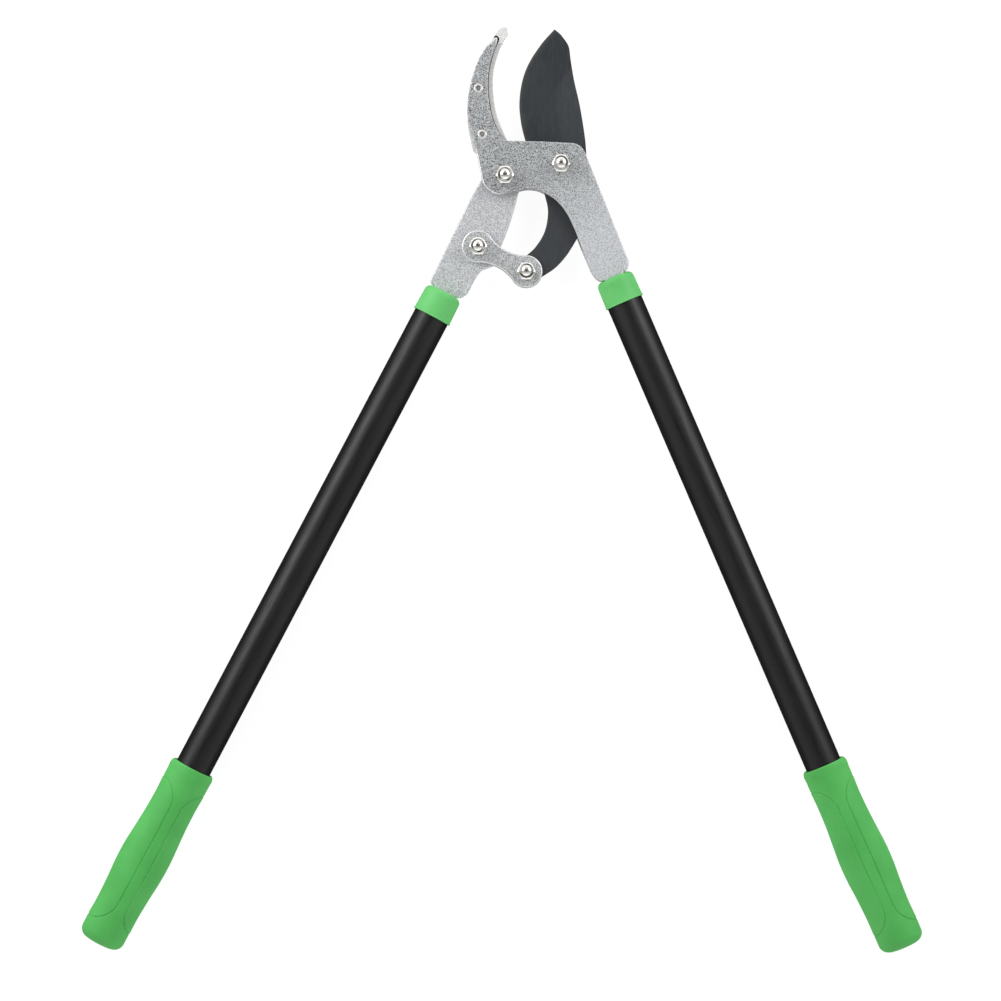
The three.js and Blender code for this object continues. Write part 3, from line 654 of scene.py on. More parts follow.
# Near-black painted shade, laid in the gap at the hook's tip and in the nuts' dome seams.
SEAM_SHADE = nickel("shaded_seam", (0.06, 0.055, 0.05, 1), (0.03, 0.028, 0.025, 1), 0.4, 0.6)
TUBE_PAINT = tube_paint()
COLLAR_GREENS = srgb(100, 198, 107), srgb(111, 209, 117)
GRIP_GREENS = srgb(82, 186, 87), srgb(91, 196, 96)
COLLAR_PLASTIC = moulded("green_collar_plastic", *COLLAR_GREENS, (0.42, 0.58), 0.5 * MM, 0.015 * MM)
GRIP_RUBBER = moulded("green_grip_rubber", *GRIP_GREENS, (0.5, 0.66), 0.7 * MM, 0.03 * MM)
BRONZE = plain("sintered_bronze", (0.42, 0.27, 0.12, 1), (0.55, 0.38, 0.18, 1), 1.0, 0.3, 0.5)
NYLON = plain("black_nylon", srgb(30, 31, 32), srgb(44, 45, 46), 0.0, 0.5, 0.7)


# ---- Plates ----

# The radii of the plates' front and rear edges.
ROLLED_EDGE = 1.1 * MM
REAR_EDGE = 0.5 * MM

# Each plate with its body, slot, finish and the strength of the painted highlight on its edges.
PLATES = [
    ("rear_cheek_plate", "hook_frame", "silver_paint", HOOK_PAINT, 0.3),
    ("lever_plate", "lever", "pale_silver_paint", LEVER_PAINT, 0.2),
    ("front_link", "link", "silver_paint", LINK_PAINT, 0.9),
    ("rear_link", "link", "silver_paint", LINK_PAINT, 0.9),
]


# The tip of the hook plate ends short of the insert's nose.
TIP_START = 89 * MM
TIP_FULL = 96 * MM
NOSE_GAP = 1.4 * MM

# The hook plate's edge has the painted highlight, strongest at its tip and on the lobe round the handle
# pivot.
HOOK_HIGHLIGHT = 0.06
LOBE_TOP = 14 * MM
LOBE_RIGHT = -44 * MM
LOBE_FADE = 7 * MM


def hook_loops():
    """The hook plate's outlines, with its tip drawn in from the insert's nose."""
    outline, *holes = map(smoothed, face_outlines("hook_plate"))
    growth = np.clip((outline[:, 1] - TIP_START) / (TIP_FULL - TIP_START), 0, 1)
    return [inset(outline, NOSE_GAP * eased(growth)), *holes]


def hook_edge_highlight(loop):
    """How strong the painted highlight on the hook plate's edge is at each point of an outline."""
    x, y = loop.T
    tip = np.clip((y - TIP_START) / (TIP_FULL - TIP_START), 0, 1)
    lobe = np.clip((LOBE_TOP - y) / LOBE_FADE, 0, 1) * np.clip((LOBE_RIGHT - x) / LOBE_FADE, 0, 1)
    return np.maximum(HOOK_HIGHLIGHT, np.maximum(tip, lobe))


def add_plates():
    """The hook plate, the rear cheek plate, the lever and both links."""
    hook = plate("hook_plate", HOOK_PAINT, REAR_EDGE, ROLLED_EDGE, hook_edge_highlight, hook_loops())
    stands_for(hook, "hook_frame", "silver_paint", "hook_plate")
    for node, body, slot, material, highlight_share in PLATES:
        made = plate(node, material, REAR_EDGE, ROLLED_EDGE, lambda loop: highlight_share)
        stands_for(made, body, slot, node)


# The insert's nose stands up beyond the tip of the hook plate, across a narrow gap. A near-black strip fills
# the gap as painted shade, and goes on as a fine seam down the jaw's inner edge.
NOSE_RISE = 1.6 * MM
NOSE_EDGE = 0.35 * MM
NOSE_START = 92 * MM
NOSE_OVERHANG = 0.05 * MM
SEAM_FOOT = 16 * MM
SEAM_WIDE = 80 * MM
SEAM_NARROW = 0.5 * MM
SEAM_LIFT = 0.05 * MM
SEAM_UNDER = 0.6 * MM

# The radii of the insert's own rear and front edges.
INSERT_REAR_EDGE = 0.12 * MM
INSERT_FRONT_EDGE = 0.3 * MM


def run_of(wanted):
    """The numbers of the longest unbroken run of wanted points round a loop."""
    starts = np.flatnonzero(wanted & ~np.roll(wanted, 1))
    runs = []
    for start in starts:
        order = np.roll(np.arange(len(wanted)), -start)
        runs.append(order[: int(np.argmin(wanted[order]))])
    return max(runs, key=len)


def add_to_insert(name, material, loop, levels):
    """A piece that covers no CAD node, and rides with the insert. It starts a lift below its face."""
    shell = Shell()
    first, last = add_wall(shell, loop, levels)
    shell.cap([first], lambda at: levels[0][1] + SEAM_LIFT, False)
    shell.cap([last], lambda at: levels[-1][1], True)
    piece = shell.build(name, [material])
    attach(piece, "hook_frame")


def add_insert():
    """The toothed insert, and its nose in front of the tip of the hook plate."""
    node = "hook_insert"
    insert = plate(node, GROUND_STEEL, INSERT_REAR_EDGE, INSERT_FRONT_EDGE)
    stands_for(insert, "hook_frame", "bright_steel", node)
    top = heights(node)[1]
    outline = outer_outline(node)
    hook = outer_outline("hook_plate")
    free = run_of(~inside(outline, [hook]) & (outline[:, 1] > NOSE_START))
    facing = run_of(inside(hook, [outline]) & (hook[:, 1] > NOSE_START))
    loop = np.concatenate([inset(outline, NOSE_OVERHANG)[free], hook[facing][::-1]])
    levels = edge_levels(top - SEAM_LIFT, top + NOSE_RISE, SEAM_LIFT / 5, NOSE_EDGE)
    add_to_insert("hook_insert_nose", GROUND_STEEL, loop, levels)


def add_nose_seam():
    """A near-black strip of painted shade in the narrow gap between the hook plate's inner edge and the
    insert.
    """
    hook = outer_outline("hook_plate")
    drawn = hook_loops()[0]
    insert = outer_outline("hook_insert")
    seam_width = SEAM_NARROW * np.clip(1 - (hook[:, 1] - SEAM_WIDE) / (TIP_FULL - SEAM_WIDE), 0, 1)
    outer = inset(hook, -seam_width)
    hidden = inset(drawn, SEAM_UNDER)
    order = run_of(inside(outer, [insert]) & (hook[:, 1] > SEAM_FOOT))
    low = heights("hook_insert")[1]
    loop = np.concatenate([outer[order], hidden[order][::-1]])
    add_to_insert("hook_insert_seam", SEAM_SHADE, loop, [(0, low - SEAM_LIFT), (0, low + SEAM_LIFT)])


# The blade's cutting edge runs from its tip down to where it goes behind the hook plate. Its front is
# hollow ground beside the edge, and honed in a narrow strip along it.
EDGE_END = 18 * MM
GROUND_WIDTH = 27 * MM
GROUND_DEPTH = 0.14 * MM
HONED_WIDTH = 1.8 * MM
HONED_DEPTH = 0.2 * MM

# Its rear is bevelled down to a land, which is this high and leans in this far. The last share of the
# bevel's width is left at the land, and the bevel fades out past both ends of the edge.
LAND = 0.25 * MM
LAND_LEAN = 0.04 * MM
REAR_BEVEL = 8 * MM
REAR_BEVEL_AT_ENDS = 3 * MM
BEVEL_LEFT = 0.02
BEVEL_FADE = 8 * MM

# The blade's other edges are rounded, and its front is a net of triangles of about this size.
BLADE_EDGE = 0.3 * MM
BLADE_GRID = 3 * MM
BLADE_STRAIGHT = 40 * MM

# Lines of the net run this far inside the edge, with each of the outline's points or only some of them.
NET_LINES = [(0.9 * MM, 1), (HONED_WIDTH, 1), (GROUND_WIDTH, 3)]
OUTLINE_CLEARANCE = 0.6 * MM
HOLE_CLEARANCE = 0.8 * MM

# The paint of the honed strip reaches a little past it. Both marks fade over a short way.
HONED_REACH = 1.1 * HONED_WIDTH
HONED_FADE = 0.5 * MM
UNGROUND_FADE = 3 * MM


def ground_depth(points, edge):
    """How far the ground front lies below the blade's flat at some points."""
    away = distance_to(np.reshape(points, (-1, 2)), edge)
    ground = GROUND_DEPTH * np.clip(1 - away / GROUND_WIDTH, 0, 1)
    return ground + HONED_DEPTH * np.clip(1 - away / HONED_WIDTH, 0, 1)


def rear_bevel(outline, edge):
    """The width of the rear bevel at each point of the outline, which starts with the edge."""
    travelled = np.concatenate([[0], np.cumsum(np.linalg.norm(np.diff(edge, axis=0), axis=1))])
    fullness = np.sqrt(np.sin(math.pi * travelled / travelled[-1]).clip(0))
    beyond = outline[len(edge):]
    nearest = np.minimum(*(np.linalg.norm(beyond - end, axis=1) for end in (edge[0], edge[-1])))
    fade = np.clip(1 - nearest / BEVEL_FADE, 0, 1) ** 2
    return np.concatenate([
        REAR_BEVEL_AT_ENDS + (REAR_BEVEL - REAR_BEVEL_AT_ENDS) * fullness,
        BLADE_EDGE + (REAR_BEVEL_AT_ENDS - BLADE_EDGE) * fade,
    ])


def add_blade_side(shell, outline, edge, bottom, top):
    """Rings up the side: the bevel and land along the edge, rounded edges elsewhere."""
    bevel = rear_bevel(outline, edge)
    sharp = np.arange(len(outline)) < len(edge)
    rounding = np.where(sharp, 0, BLADE_EDGE)
    land_foot = np.where(sharp, top - ground_depth(outline, edge) - LAND, bottom + BLADE_EDGE)
    rings = [
        shell.add_level(inset(outline, bevel), bottom),
        shell.add_level(inset(outline, bevel * BEVEL_LEFT), land_foot),
    ]
    for step, angle in enumerate(quarter_turn(EDGE_STEPS)):
        lean = sharp * LAND_LEAN * step / EDGE_STEPS
        moved = inset(outline, rounding * (1 - math.cos(angle)) + lean)
        level = top - ground_depth(moved, edge) - rounding * (1 - math.sin(angle))
        rings.append(shell.add_level(moved, level))
    for lower, upper in zip(rings, rings[1:]):
        shell.join_rings(lower, upper)
    return rings[0], rings[-1]


def add_blade():
    """The blade, with its ground and honed cutting edge and its bevelled rear."""
    node = "blade"
    bottom, top = heights(node)
    outline, *holes = [smoothed(loop, BLADE_STRAIGHT) for loop in face_outlines(node)]
    outline = np.roll(outline, -int(np.argmax(outline[:, 1])), axis=0)
    edge = outline[: int(np.argmax(outline[:, 1] < EDGE_END))]
    shell = Shell()
    walls = [add_blade_side(shell, outline, edge, bottom, top)]
    levels = edge_levels(bottom, top, BLADE_EDGE, BLADE_EDGE)
    walls += [add_wall(shell, hole, levels) for hole in holes]
    firsts, lasts = zip(*walls)
    shell.cap(firsts, lambda at: bottom, False)
    net = blade_points(outline, holes, edge)
    shell.cap(lasts, lambda at: float(top - ground_depth(np.array(at), edge)[0]), True, net)
    piece = shell.build("blade_finished", [BLADE_COATING])
    paint_blade(piece, edge, bottom)
    stands_for(piece, "blade", "dark_blade_coating", node)


def blade_points(outline, holes, edge):
    """Points that carry the ground front: a grid, and lines along the cutting edge."""
    low, high = outline.min(axis=0), outline.max(axis=0)
    columns = np.arange(low[0], high[0], BLADE_GRID)
    rows = np.arange(low[1], high[1], BLADE_GRID)
    grid = np.stack(np.meshgrid(columns, rows), axis=-1).reshape(-1, 2)
    near = distance_to(grid, edge)
    gap = BLADE_GRID / 3
    clear = (near > HONED_WIDTH + gap) & (np.abs(near - GROUND_WIDTH) > gap)
    lines = [inset(outline, distance)[: len(edge) : every] for distance, every in NET_LINES]
    points = np.concatenate([grid[clear], *lines])
    wanted = inside(points, [outline, *holes])
    for loop, clearance in [(outline, OUTLINE_CLEARANCE), *((hole, HOLE_CLEARANCE) for hole in holes)]:
        wanted &= distance_to(points, np.concatenate([loop, loop[:1]])) > clearance
    return points[wanted]


def paint_blade(piece, edge, bottom):
    """Marks the honed strip along the cutting edge, and the flat that the hollow grinding left."""
    mesh = piece.data
    points = np.array([vertex.co for vertex in mesh.vertices])
    away = distance_to(points[:, :2], edge)
    front = points[:, 2] > bottom + BLADE_EDGE
    marks = {
        "honed": front * np.clip((HONED_REACH - away) / HONED_FADE, 0, 1),
        "unground": front * np.clip((away - GROUND_WIDTH) / UNGROUND_FADE, 0, 1),
    }
    for name, values in marks.items():
        attribute = mesh.attributes.new(name, "FLOAT", "POINT")
        attribute.data.foreach_set("value", values.astype(np.float32))


# ---- Fasteners ----

# The hexagons of nuts and bolt heads. Their corners are cut back on a slope, round a face of a radius.
ACROSS_FLATS = 13 * MM
HEX_CORNER = 7.36 * MM
HEX_FACE_RADIUS = 5.75 * MM
CHAMFER_SLOPE = math.tan(math.radians(36))
CHAMFER_STEPS = 8


def hexagon(limit):
    """Radii of a hexagon with two corners on the X axis. All its corners are cut off at a limit."""
    sixth = math.pi / 3
    folded = np.mod(ring_angles(SIDES), sixth) - sixth / 2
    return np.minimum(ACROSS_FLATS / 2 / np.cos(folded), min(limit, HEX_CORNER))


def hex_levels(bottom, top):
    """Rings up a hexagon whose corners are chamfered at both ends."""
    width = HEX_CORNER - HEX_FACE_RADIUS
    cuts = [width * i / CHAMFER_STEPS for i in range(CHAMFER_STEPS + 1)]
    rings = [(hexagon(HEX_FACE_RADIUS + cut), cut * CHAMFER_SLOPE) for cut in cuts]
    lower = [(radii, bottom + rise) for radii, rise in rings]
    upper = [(radii, top - rise) for radii, rise in reversed(rings)]
    return lower + upper


NUT_HEX = 6.2 * MM
DOME_RADIUS = 5.6 * MM
DOME_STEPS = 18
SEAM_RADIUS = 5.1 * MM
SEAM_HEIGHT = 0.5 * MM
SEAM_SUNK = 0.1 * MM

# The dome's foot, as (how far inside the dome's radius, how far above the seam).
DOME_FOOT = [(0.15 * MM, 0.05 * MM), (0, 0.3 * MM)]


def acorn_nut(node):
    """A hexagon with a domed cap, and a seam turned in at the foot of the dome, painted near-black as shade.
    """
    bottom, top = heights(node)
    hex_top = bottom + NUT_HEX
    profile = hex_levels(bottom, hex_top)
    seam = len(profile)
    seam_top = hex_top + SEAM_HEIGHT
    profile += [(SEAM_RADIUS, hex_top - SEAM_SUNK), (SEAM_RADIUS, seam_top)]
    profile += [(DOME_RADIUS - within, seam_top + up) for within, up in DOME_FOOT]
    for angle in quarter_turn(DOME_STEPS)[:-1]:
        profile.append((DOME_RADIUS * math.cos(angle), top - DOME_RADIUS * (1 - math.sin(angle))))
    # The seam's two bands take the near-black painted shade.
    shell = turned(profile, {seam, seam + 1}, axis(node))
    return shell.build(node + "_finished", [NICKEL, SEAM_SHADE])


BOLT_HEAD = 5.3 * MM
BOLT_RADIUS = 4 * MM
BOLT_CHAMFER = 0.6 * MM


def bolt(node):
    """A hexagon head with its shank."""
    bottom, top = heights(node)
    head_top = bottom + BOLT_HEAD
    profile = hex_levels(bottom, head_top) + [
        (BOLT_RADIUS, head_top),
        (BOLT_RADIUS, top - BOLT_CHAMFER),
        (BOLT_RADIUS - BOLT_CHAMFER, top),
    ]
    return turned(profile, middle=axis(node)).build(node + "_finished", [NICKEL])


WASHER_BORE = 4.1 * MM
WASHER_EDGE = 0.25 * MM


def washer(node):
    """A flat ring with chamfered outer edges."""
    low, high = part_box(node)
    shell = hoop(WASHER_BORE, (high.y - low.y) / 2, low.z, high.z, WASHER_EDGE, axis(node))
    return shell.build(node + "_finished", [NICKEL])


# The rivet's head from its rim to its centre, as shares of its radius and of its height. Its last bands,
# down into the dimple, are painted darker, as painted shade in the hollow.
RIVET_HEAD_SHAPE = [
    (1, 0), (0.99, 0.4), (0.93, 0.75), (0.82, 0.95), (0.7, 1), (0.6, 0.92),
    (0.5, 0.5), (0.4, 0.25), (0.25, 0.2), (0.12, 0.3),
]
RIVET_DIMPLE_BANDS = 4
RIVET_HEAD = 1 * MM
RIVET_SHANK = 2.2 * MM


def rivet(node):
    """A rivet with a dimpled head, whose dimple is painted dark as shade."""
    low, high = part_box(node)
    radius = (high.x - low.x) / 2
    seat = high.z - RIVET_HEAD
    profile = [(RIVET_SHANK, low.z), (RIVET_SHANK, seat)]
    profile += [(radius * across, seat + RIVET_HEAD * up) for across, up in RIVET_HEAD_SHAPE]
    last = len(profile) - 1
    shell = turned(profile, range(last - RIVET_DIMPLE_BANDS, last), axis(node))
    return shell.build(node + "_finished", [RIVET_STEEL, DIMPLE_SHADE_STEEL])


FASTENER_MAKERS = {"_nut": acorn_nut, "_bolt": bolt, "_spacer": washer, "_washer": washer, "_rivet": rivet}


def add_fasteners():
    """Every nut, bolt, spacer, washer and rivet of the CAD."""
    for body, members in frame["record"]["behaviour"]["bodies"].items():
        for node in members:
            for ending, make in FASTENER_MAKERS.items():
                if node.endswith(ending):
                    stands_for(make(node), body, "bright_nickel", node)


# ---- Handles: each is drawn along its own Y axis, down the handle from the collar's top ----

COLLAR_LENGTH = 21.3 * MM
COLLAR_LIP = 1.1 * MM
COLLAR_SHOULDER = 4.6 * MM
COLLAR_SHOULDER_STEPS = 8
COLLAR_NECK = 14.7 * MM
COLLAR_RADIUS = 15.4 * MM
COLLAR_TOP_WALL = 2.4 * MM
COLLAR_BORE_CHAMFER = 0.2 * MM
FIT_GAP = 0.3 * MM
TUBE_WALL = 1.5 * MM
TUBE_CHAMFER = 0.3 * MM

# The collar's lip, as (how far inside the collar's radius, distance down from a place), in millimetres:
# from the lip's start, and from the collar's end.
COLLAR_LIP_SHAPE = [(0.35, -0.5), (0.25, -0.1), (0, 0.2)]
COLLAR_END_SHAPE = [(0, -0.35), (0.15, -0.08), (0.4, 0)]


class Handle:
    """One handle's frame. Y runs down it and X points to the picture's left."""

    def __init__(self, side, body, plates):
        self.side = side
        self.body = body
        self.plates = plates
        pin, tube = centre(side + "_tang_pin"), centre(side + "_tube")
        down = (tube - pin).normalized()
        top = pin - down * (COLLAR_LENGTH / 2)
        across = down.cross(Vector((0, 0, 1)))
        rotation = Matrix((across, down, Vector((0, 0, 1)))).transposed().to_4x4()
        self.place = Matrix.Translation(top) @ rotation
        self.into = self.place.inverted()

    def local(self, node):
        """A CAD node's points in the handle's frame."""
        return np.array([self.into @ vertex.co for vertex in NODES[node].data.vertices])

    def span(self, node):
        """Where a node starts and ends down the handle."""
        y = self.local(node)[:, 1]
        return y.min(), y.max()

    def bore(self):
        """The radius of a hole that the tube fits into."""
        return self.local(self.side + "_tube")[:, 0].max() + FIT_GAP


def along_y(shell):
    """Turns a shell built up Z so that it runs along Y."""
    shell.vertices = [(x, z, -y) for x, y, z in shell.vertices]
    return shell


def cut_box(piece, low, high, place):
    """Cuts a box out of a piece. The box is given in the frame of a place."""
    box = bmesh.new()
    bmesh.ops.create_cube(box, size=1)
    stretch = Matrix.Translation((low + high) / 2) @ Matrix.Diagonal((*(high - low), 1))
    bmesh.ops.transform(box, matrix=stretch, verts=box.verts)
    mesh = bpy.data.meshes.new("cutter")
    box.to_mesh(mesh)
    box.free()
    cutter = bpy.data.objects.new("cutter", mesh)
    bpy.context.scene.collection.objects.link(cutter)
    cutter.matrix_world = place
    cut = piece.modifiers.new("cut", "BOOLEAN")
    cut.object = cutter
    cut.operation = "DIFFERENCE"
    cut.solver = "MANIFOLD"
    piece.modifiers.move(len(piece.modifiers) - 1, 0)
    bpy.context.view_layer.update()
    evaluated = piece.evaluated_get(bpy.context.evaluated_depsgraph_get())
    piece.data = bpy.data.meshes.new_from_object(evaluated)
    piece.modifiers.clear()
    bpy.data.objects.remove(cutter)


def add_collar(handle):
    """A collar with a rounded shoulder and a lip, cut open for the tangs of the handle's plates."""
    bore = handle.bore()
    profile = []
    for angle in quarter_turn(COLLAR_SHOULDER_STEPS):
        radius = COLLAR_NECK - COLLAR_SHOULDER * (1 - math.sin(angle))
        profile.append((radius, COLLAR_SHOULDER * (1 - math.cos(angle))))
    for shape, start in ((COLLAR_LIP_SHAPE, COLLAR_LENGTH - COLLAR_LIP), (COLLAR_END_SHAPE, COLLAR_LENGTH)):
        profile += [(COLLAR_RADIUS - within * MM, start + down * MM) for within, down in shape]
    profile += [
        (bore + COLLAR_BORE_CHAMFER, COLLAR_LENGTH),
        (bore, COLLAR_LENGTH - COLLAR_BORE_CHAMFER),
        (bore, COLLAR_TOP_WALL),
    ]
    shell = along_y(turned(profile))
    piece = shell.build(handle.side + "_collar_finished", [COLLAR_PLASTIC], handle.place)
    plates = np.concatenate([handle.local(node) for node in handle.plates])
    depths = plates[np.abs(plates[:, 1] - COLLAR_LENGTH) < COLLAR_LENGTH][:, 2]
    widths = plates[plates[:, 1] > COLLAR_LENGTH][:, 0]
    gap = FIT_GAP / 2
    low = Vector((widths.min() - gap, -COLLAR_TOP_WALL, depths.min() - gap))
    high = Vector((widths.max() + gap, 2 * COLLAR_TOP_WALL, depths.max() + gap))
    cut_box(piece, low, high, handle.place)
    stands_for(piece, handle.body, "green_collar_plastic", handle.side + "_collar")


def add_tube(handle):
    """A hollow tube, chamfered a little at both ends."""
    node = handle.side + "_tube"
    radius = handle.local(node)[:, 0].max()
    shell = along_y(hoop(radius - TUBE_WALL, radius, *handle.span(node), TUBE_CHAMFER))
    piece = shell.build(node + "_finished", [TUBE_PAINT], handle.place)
    stands_for(piece, handle.body, "black_paint", node)


GRIP_END_RADIUS = 7.5 * MM
GRIP_END_STEPS = 12
GRIP_MOUTH = 1.3 * MM
GRIP_MOUTH_STEPS = 6
GRIP_MOUTH_DEPTH = 0.6 * GRIP_MOUTH
GRIP_STEP = 0.55 * MM
GRIP_SIDES = 220

# Rings of the CAD's grip narrower than this are its bore. Its outside is read up to where its end rounds.
GRIP_NARROWEST = 16 * MM
SAME_LEVEL = 0.01 * MM

# The grooves round the side panels, and how far the surface between the panels is sunk.
GROOVE_HALF_WIDTH = 0.62 * MM
GROOVE_DEPTH = 0.62 * MM
PANEL_RISE = 0.22 * MM
PANEL_TOP = 16.2 * MM
PANEL_BOTTOM = 136.5 * MM
PANEL_CORNER = 18 * MM

# The stripe between the panels, and how far it leans to the picture's right on each grip.
STRIPE_HALF_WIDTH = 4.1 * MM
STRIPE_SHIFT = {"left": 3.4 * MM, "right": 0.4 * MM}


def grip_stations(handle):
    """The grip's rim and length, and its half-widths to both sides and half-thickness down its length."""
    points = handle.local(handle.side + "_grip")
    rim, end = handle.span(handle.side + "_grip")
    stations = []
    for y in np.unique(points[:, 1].round(6)):
        ring = points[np.abs(points[:, 1] - y) < SAME_LEVEL]
        if ring[:, 0].max() > GRIP_NARROWEST and y <= end - GRIP_END_RADIUS + MM:
            stations.append((y - rim, ring[:, 0].max(), -ring[:, 0].min(), ring[:, 2].max()))
    return rim, end - rim, np.array(stations)


def through(xs, ys, x):
    """A smooth curve through known points."""
    slopes = np.gradient(ys, xs)
    i = np.clip(np.searchsorted(xs, x) - 1, 0, len(xs) - 2)
    step = xs[i + 1] - xs[i]
    t = np.clip((x - xs[i]) / step, 0, 1)
    return curved(t, ys[i], ys[i + 1], step * slopes[i], step * slopes[i + 1])


def panel_distance(along, across, half_girth):
    """The signed distance to the outline of the nearer side panel, on the unrolled surface.

    Across is measured round the grip from the middle of the front or back stripe.
    """
    middle = (PANEL_TOP + PANEL_BOTTOM) / 2
    half_length = (PANEL_BOTTOM - PANEL_TOP) / 2
    half_width = half_girth - STRIPE_HALF_WIDTH
    from_side = half_girth - np.abs(across)
    x = np.abs(along - middle) - (half_length - PANEL_CORNER)
    y = np.abs(from_side) - (half_width - PANEL_CORNER)
    outside = np.hypot(np.maximum(x, 0), np.maximum(y, 0))
    return outside + np.minimum(np.maximum(x, y), 0) - PANEL_CORNER


def grip_relief(along, across, half_girth):
    """How far the surface lies below its full height: the panels' grooves, and the stripe between."""
    away = panel_distance(along, across, half_girth)
    groove = eased(np.clip(1 - np.abs(away) / GROOVE_HALF_WIDTH, 0, 1))
    beside = np.clip(away / GROOVE_HALF_WIDTH / 2 + 0.5, 0, 1)
    return GROOVE_DEPTH * groove + PANEL_RISE * beside


def oval(left, right, thick, lowered=0.0):
    """Points round an oval cross-section of the grip, lowered by one distance or one for each."""
    angles = ring_angles(GRIP_SIDES)
    half, middle = (left + right) / 2, (left - right) / 2
    x = middle + (half - lowered) * np.cos(angles)
    return np.column_stack([x, (thick - lowered) * np.sin(angles)])


def rounded_in(radius, share):
    """How far a quarter-round edge draws in, at a share of the way to its end."""
    return radius * (1 - math.sqrt(max(0, 1 - share**2)))


def grip_section(side, y, length, left, right, thick):
    """The grip's outline at a distance from its rim, with its panels' grooves and its rounded ends.

    The stripes on both faces lean to the picture's right.
    """
    angles = ring_angles(GRIP_SIDES)
    half_girth = math.pi / 4 * ((left + right) / 2 + thick)
    lean = np.where(np.sin(angles) > 0, -1, 1) * STRIPE_SHIFT[side] / thick
    turn = np.mod(angles + lean, math.pi)
    across = np.abs(turn - math.pi / 2) * 2 * half_girth / math.pi
    drawn_in = rounded_in(GRIP_MOUTH_DEPTH, max(0, 1 - y / GRIP_MOUTH))
    drawn_in += rounded_in(GRIP_END_RADIUS, max(0, (y - length + GRIP_END_RADIUS) / GRIP_END_RADIUS))
    return oval(left, right, thick, drawn_in + grip_relief(y, across, half_girth))


def add_grip(handle):
    """A grip with a rounded mouth and end, and a blind bore for the tube."""
    node = handle.side + "_grip"
    rim, length, stations = grip_stations(handle)
    bore = oval(*[handle.bore()] * 3)
    bore_end = handle.span(handle.side + "_tube")[1] + FIT_GAP
    ys = np.concatenate([
        GRIP_MOUTH * (1 - np.cos(quarter_turn(GRIP_MOUTH_STEPS)[1:])),
        np.arange(GRIP_MOUTH + GRIP_STEP, length - GRIP_END_RADIUS, GRIP_STEP),
        length - GRIP_END_RADIUS * (1 - np.sin(quarter_turn(GRIP_END_STEPS))),
    ])
    shell = Shell()
    first = last = shell.add_level(bore, rim + GRIP_MOUTH / 2)
    for y in ys:
        sizes = [through(stations[:, 0], stations[:, i], y) for i in (1, 2, 3)]
        ring = shell.add_level(grip_section(handle.side, y, length, *sizes), rim + y)
        shell.join_rings(last, ring)
        last = ring
    shell.close_with_point(last, (0, 0, rim + length), True)
    deep = shell.add_level(bore, bore_end)
    shell.join_rings(deep, first)
    shell.close_with_point(deep, (0, 0, bore_end), False)
    piece = along_y(shell).build(node + "_finished", [GRIP_RUBBER], handle.place)
    stands_for(piece, handle.body, "green_grip_rubber", node)


def add_handles():
    """Each handle's collar, tube and grip."""
    for handle in (
        Handle("left", "lever", ["lever_plate"]),
        Handle("right", "hook_frame", ["hook_plate", "rear_cheek_plate"]),
    ):
        add_collar(handle)
        add_tube(handle)
        add_grip(handle)


# ---- Pieces inside, which keep their CAD shapes ----

INSIDE_FINISHES = {"_plug": NYLON, "_pin": NICKEL, "_bush": BRONZE}


def finish_inside_pieces():
    """Gives the CAD's own pieces their materials."""
    for name, node in NODES.items():
        for ending, material in INSIDE_FINISHES.items():
            if name.endswith(ending):
                for slot in node.material_slots:
                    slot.material = material


# ---- Floor, lights and camera ----

# The camera looks straight down from its height. The view is this wide at a level above the floor.
CAMERA_HEIGHT = 3.0
VIEW_CENTRE = (-0.0464, -0.2583)
VIEW_WIDTH = 0.7683
VIEW_LEVEL = 0.022
SENSOR = 36

# The floor is large, matt and grey, and glows until it is almost white.
FLOOR_HALF = 6
FLOOR_GREYS = [(0.24, 0.24, 0.24, 1), (0.26, 0.26, 0.26, 1)]
FLOOR_GRAIN = 0.05
FLOOR_GLOW = 0.88

# Both softboxes with their places, the points they face and their powers.
SOFTBOX_WIDTH = 1.0
SOFTBOX_HEIGHT = 0.6
SOFTBOXES = [
    ("left_softbox", (-0.85, 0.28, 0.62), (-0.1, -0.05, 0.02), 6.3),
    ("right_softbox", (0.8, 0.28, 0.62), (0, -0.05, 0.02), 4.7),
]


def add_floor():
    """A plain pale floor, which the bright metal doesn't mirror."""
    mesh = bpy.data.meshes.new("floor")
    corners = [(x * FLOOR_HALF, y * FLOOR_HALF, 0) for x, y in ((-1, -1), (1, -1), (1, 1), (-1, 1))]
    mesh.from_pydata(corners, [], [(0, 1, 2, 3)])
    floor = bpy.data.objects.new("floor", mesh)
    paint = Paint("pale_floor", roughness=0.9, specular=0.1)
    paint.colour(paint.noise(FLOOR_GRAIN), *FLOOR_GREYS)
    paint.shader["Emission Color"].default_value = (1, 1, 1, 1)
    paint.shader["Emission Strength"].default_value = FLOOR_GLOW
    mesh.materials.append(paint.material)
    bpy.context.scene.collection.objects.link(floor)
    floor.visible_glossy = False


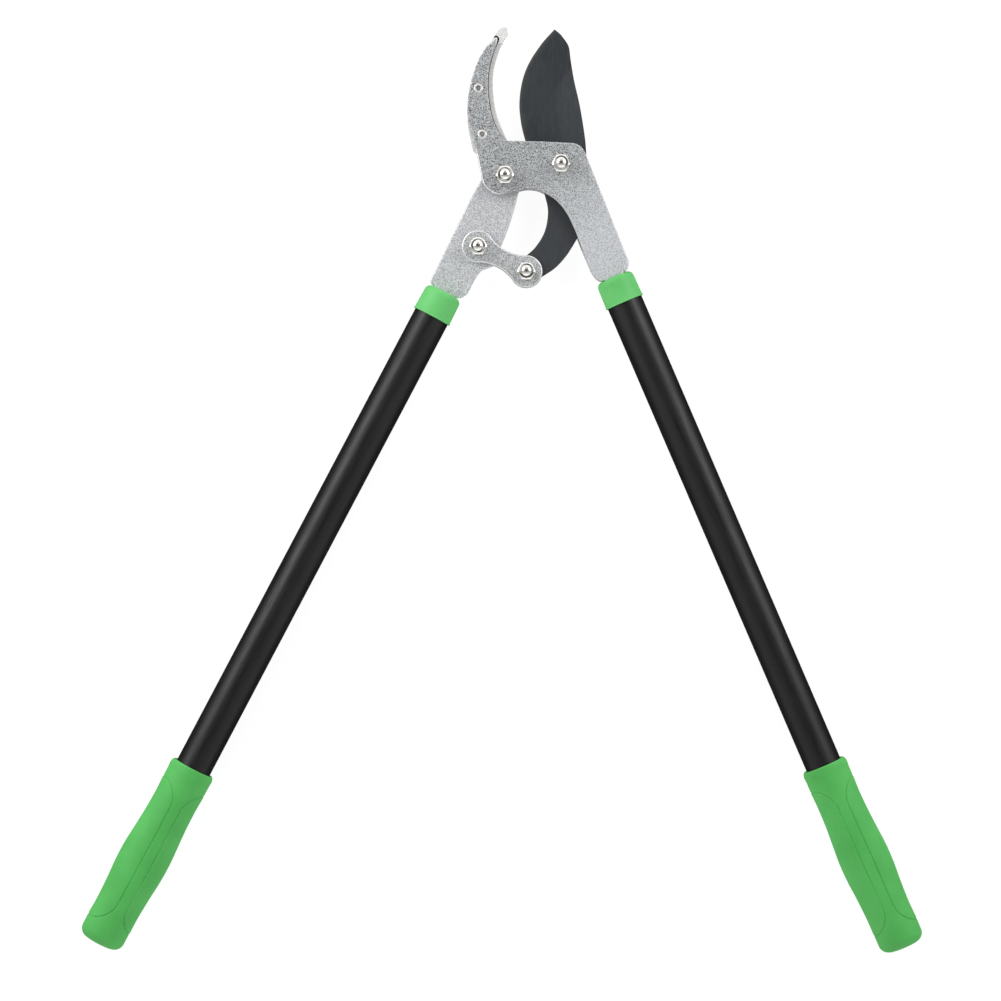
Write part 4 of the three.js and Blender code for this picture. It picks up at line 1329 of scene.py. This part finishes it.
def add_lights():
    """A softbox on each side, above the jaws."""
    for name, place, aim, power in SOFTBOXES:
        light = bpy.data.lights.new(name, "AREA")
        light.shape = "RECTANGLE"
        light.size = SOFTBOX_WIDTH
        light.size_y = SOFTBOX_HEIGHT
        light.energy = power
        box = bpy.data.objects.new(name, light)
        box.location = place
        box.rotation_euler = (Vector(aim) - Vector(place)).to_track_quat("-Z", "Y").to_euler()
        bpy.context.scene.collection.objects.link(box)


# The sky's grey from straight down to straight up, as (share of the height, grey). Its strength is the
# sides' and rises by the ends' towards both ends of the Y axis.
SKY = [(0.0, 0.03), (0.46, 0.05), (0.52, 0.6), (0.75, 0.5), (0.93, 0.4), (0.975, 0.2), (0.99, 0.1)]
SKY_SIDES = 0.75
SKY_ENDS = 1.8


def add_world():
    """A grey sky that is brighter towards both ends of the Y axis, and dark right above."""
    world = bpy.data.worlds.new("studio")
    world.use_nodes = True
    tree = world.node_tree
    generated = add_node(tree, "TexCoord", {})["Generated"]
    parts = add_node(tree, "SeparateXYZ", {"Vector": generated})
    height = add_node(tree, "MapRange", {"Value": parts["Z"], "From Min": -1})["Result"]
    colour = add_node(tree, "ValToRGB", {"Fac": height})["Color"]
    ramp = colour.node.color_ramp
    while len(ramp.elements) < len(SKY):
        ramp.elements.new(0.5)
    for element, (position, grey) in zip(ramp.elements, SKY):
        element.position = position
        element.color = (grey, grey, grey, 1)
    squared = add_node(tree, "Math", {0: parts["Y"], 1: parts["Y"]}, operation="MULTIPLY")["Value"]
    scaled = {0: squared, 1: SKY_ENDS, 2: SKY_SIDES}
    strength = add_node(tree, "Math", scaled, operation="MULTIPLY_ADD")["Value"]
    background = tree.nodes["Background"].inputs
    tree.links.new(colour, background["Color"])
    tree.links.new(strength, background["Strength"])
    bpy.context.scene.world = world


def add_camera():
    """A camera right above the loppers, with the jaws at the top of its picture."""
    lens = bpy.data.cameras.new("camera")
    lens.sensor_width = SENSOR
    lens.lens = SENSOR * (CAMERA_HEIGHT - VIEW_LEVEL) / VIEW_WIDTH
    camera = bpy.data.objects.new("camera", lens)
    camera.location = (*VIEW_CENTRE, CAMERA_HEIGHT)
    bpy.context.scene.collection.objects.link(camera)
    bpy.context.scene.camera = camera


add_camera()
add_world()
add_lights()
add_floor()
add_plates()
add_insert()
add_nose_seam()
add_blade()
add_fasteners()
add_handles()
finish_inside_pieces()
bpy.context.scene.view_settings.view_transform = "Standard"
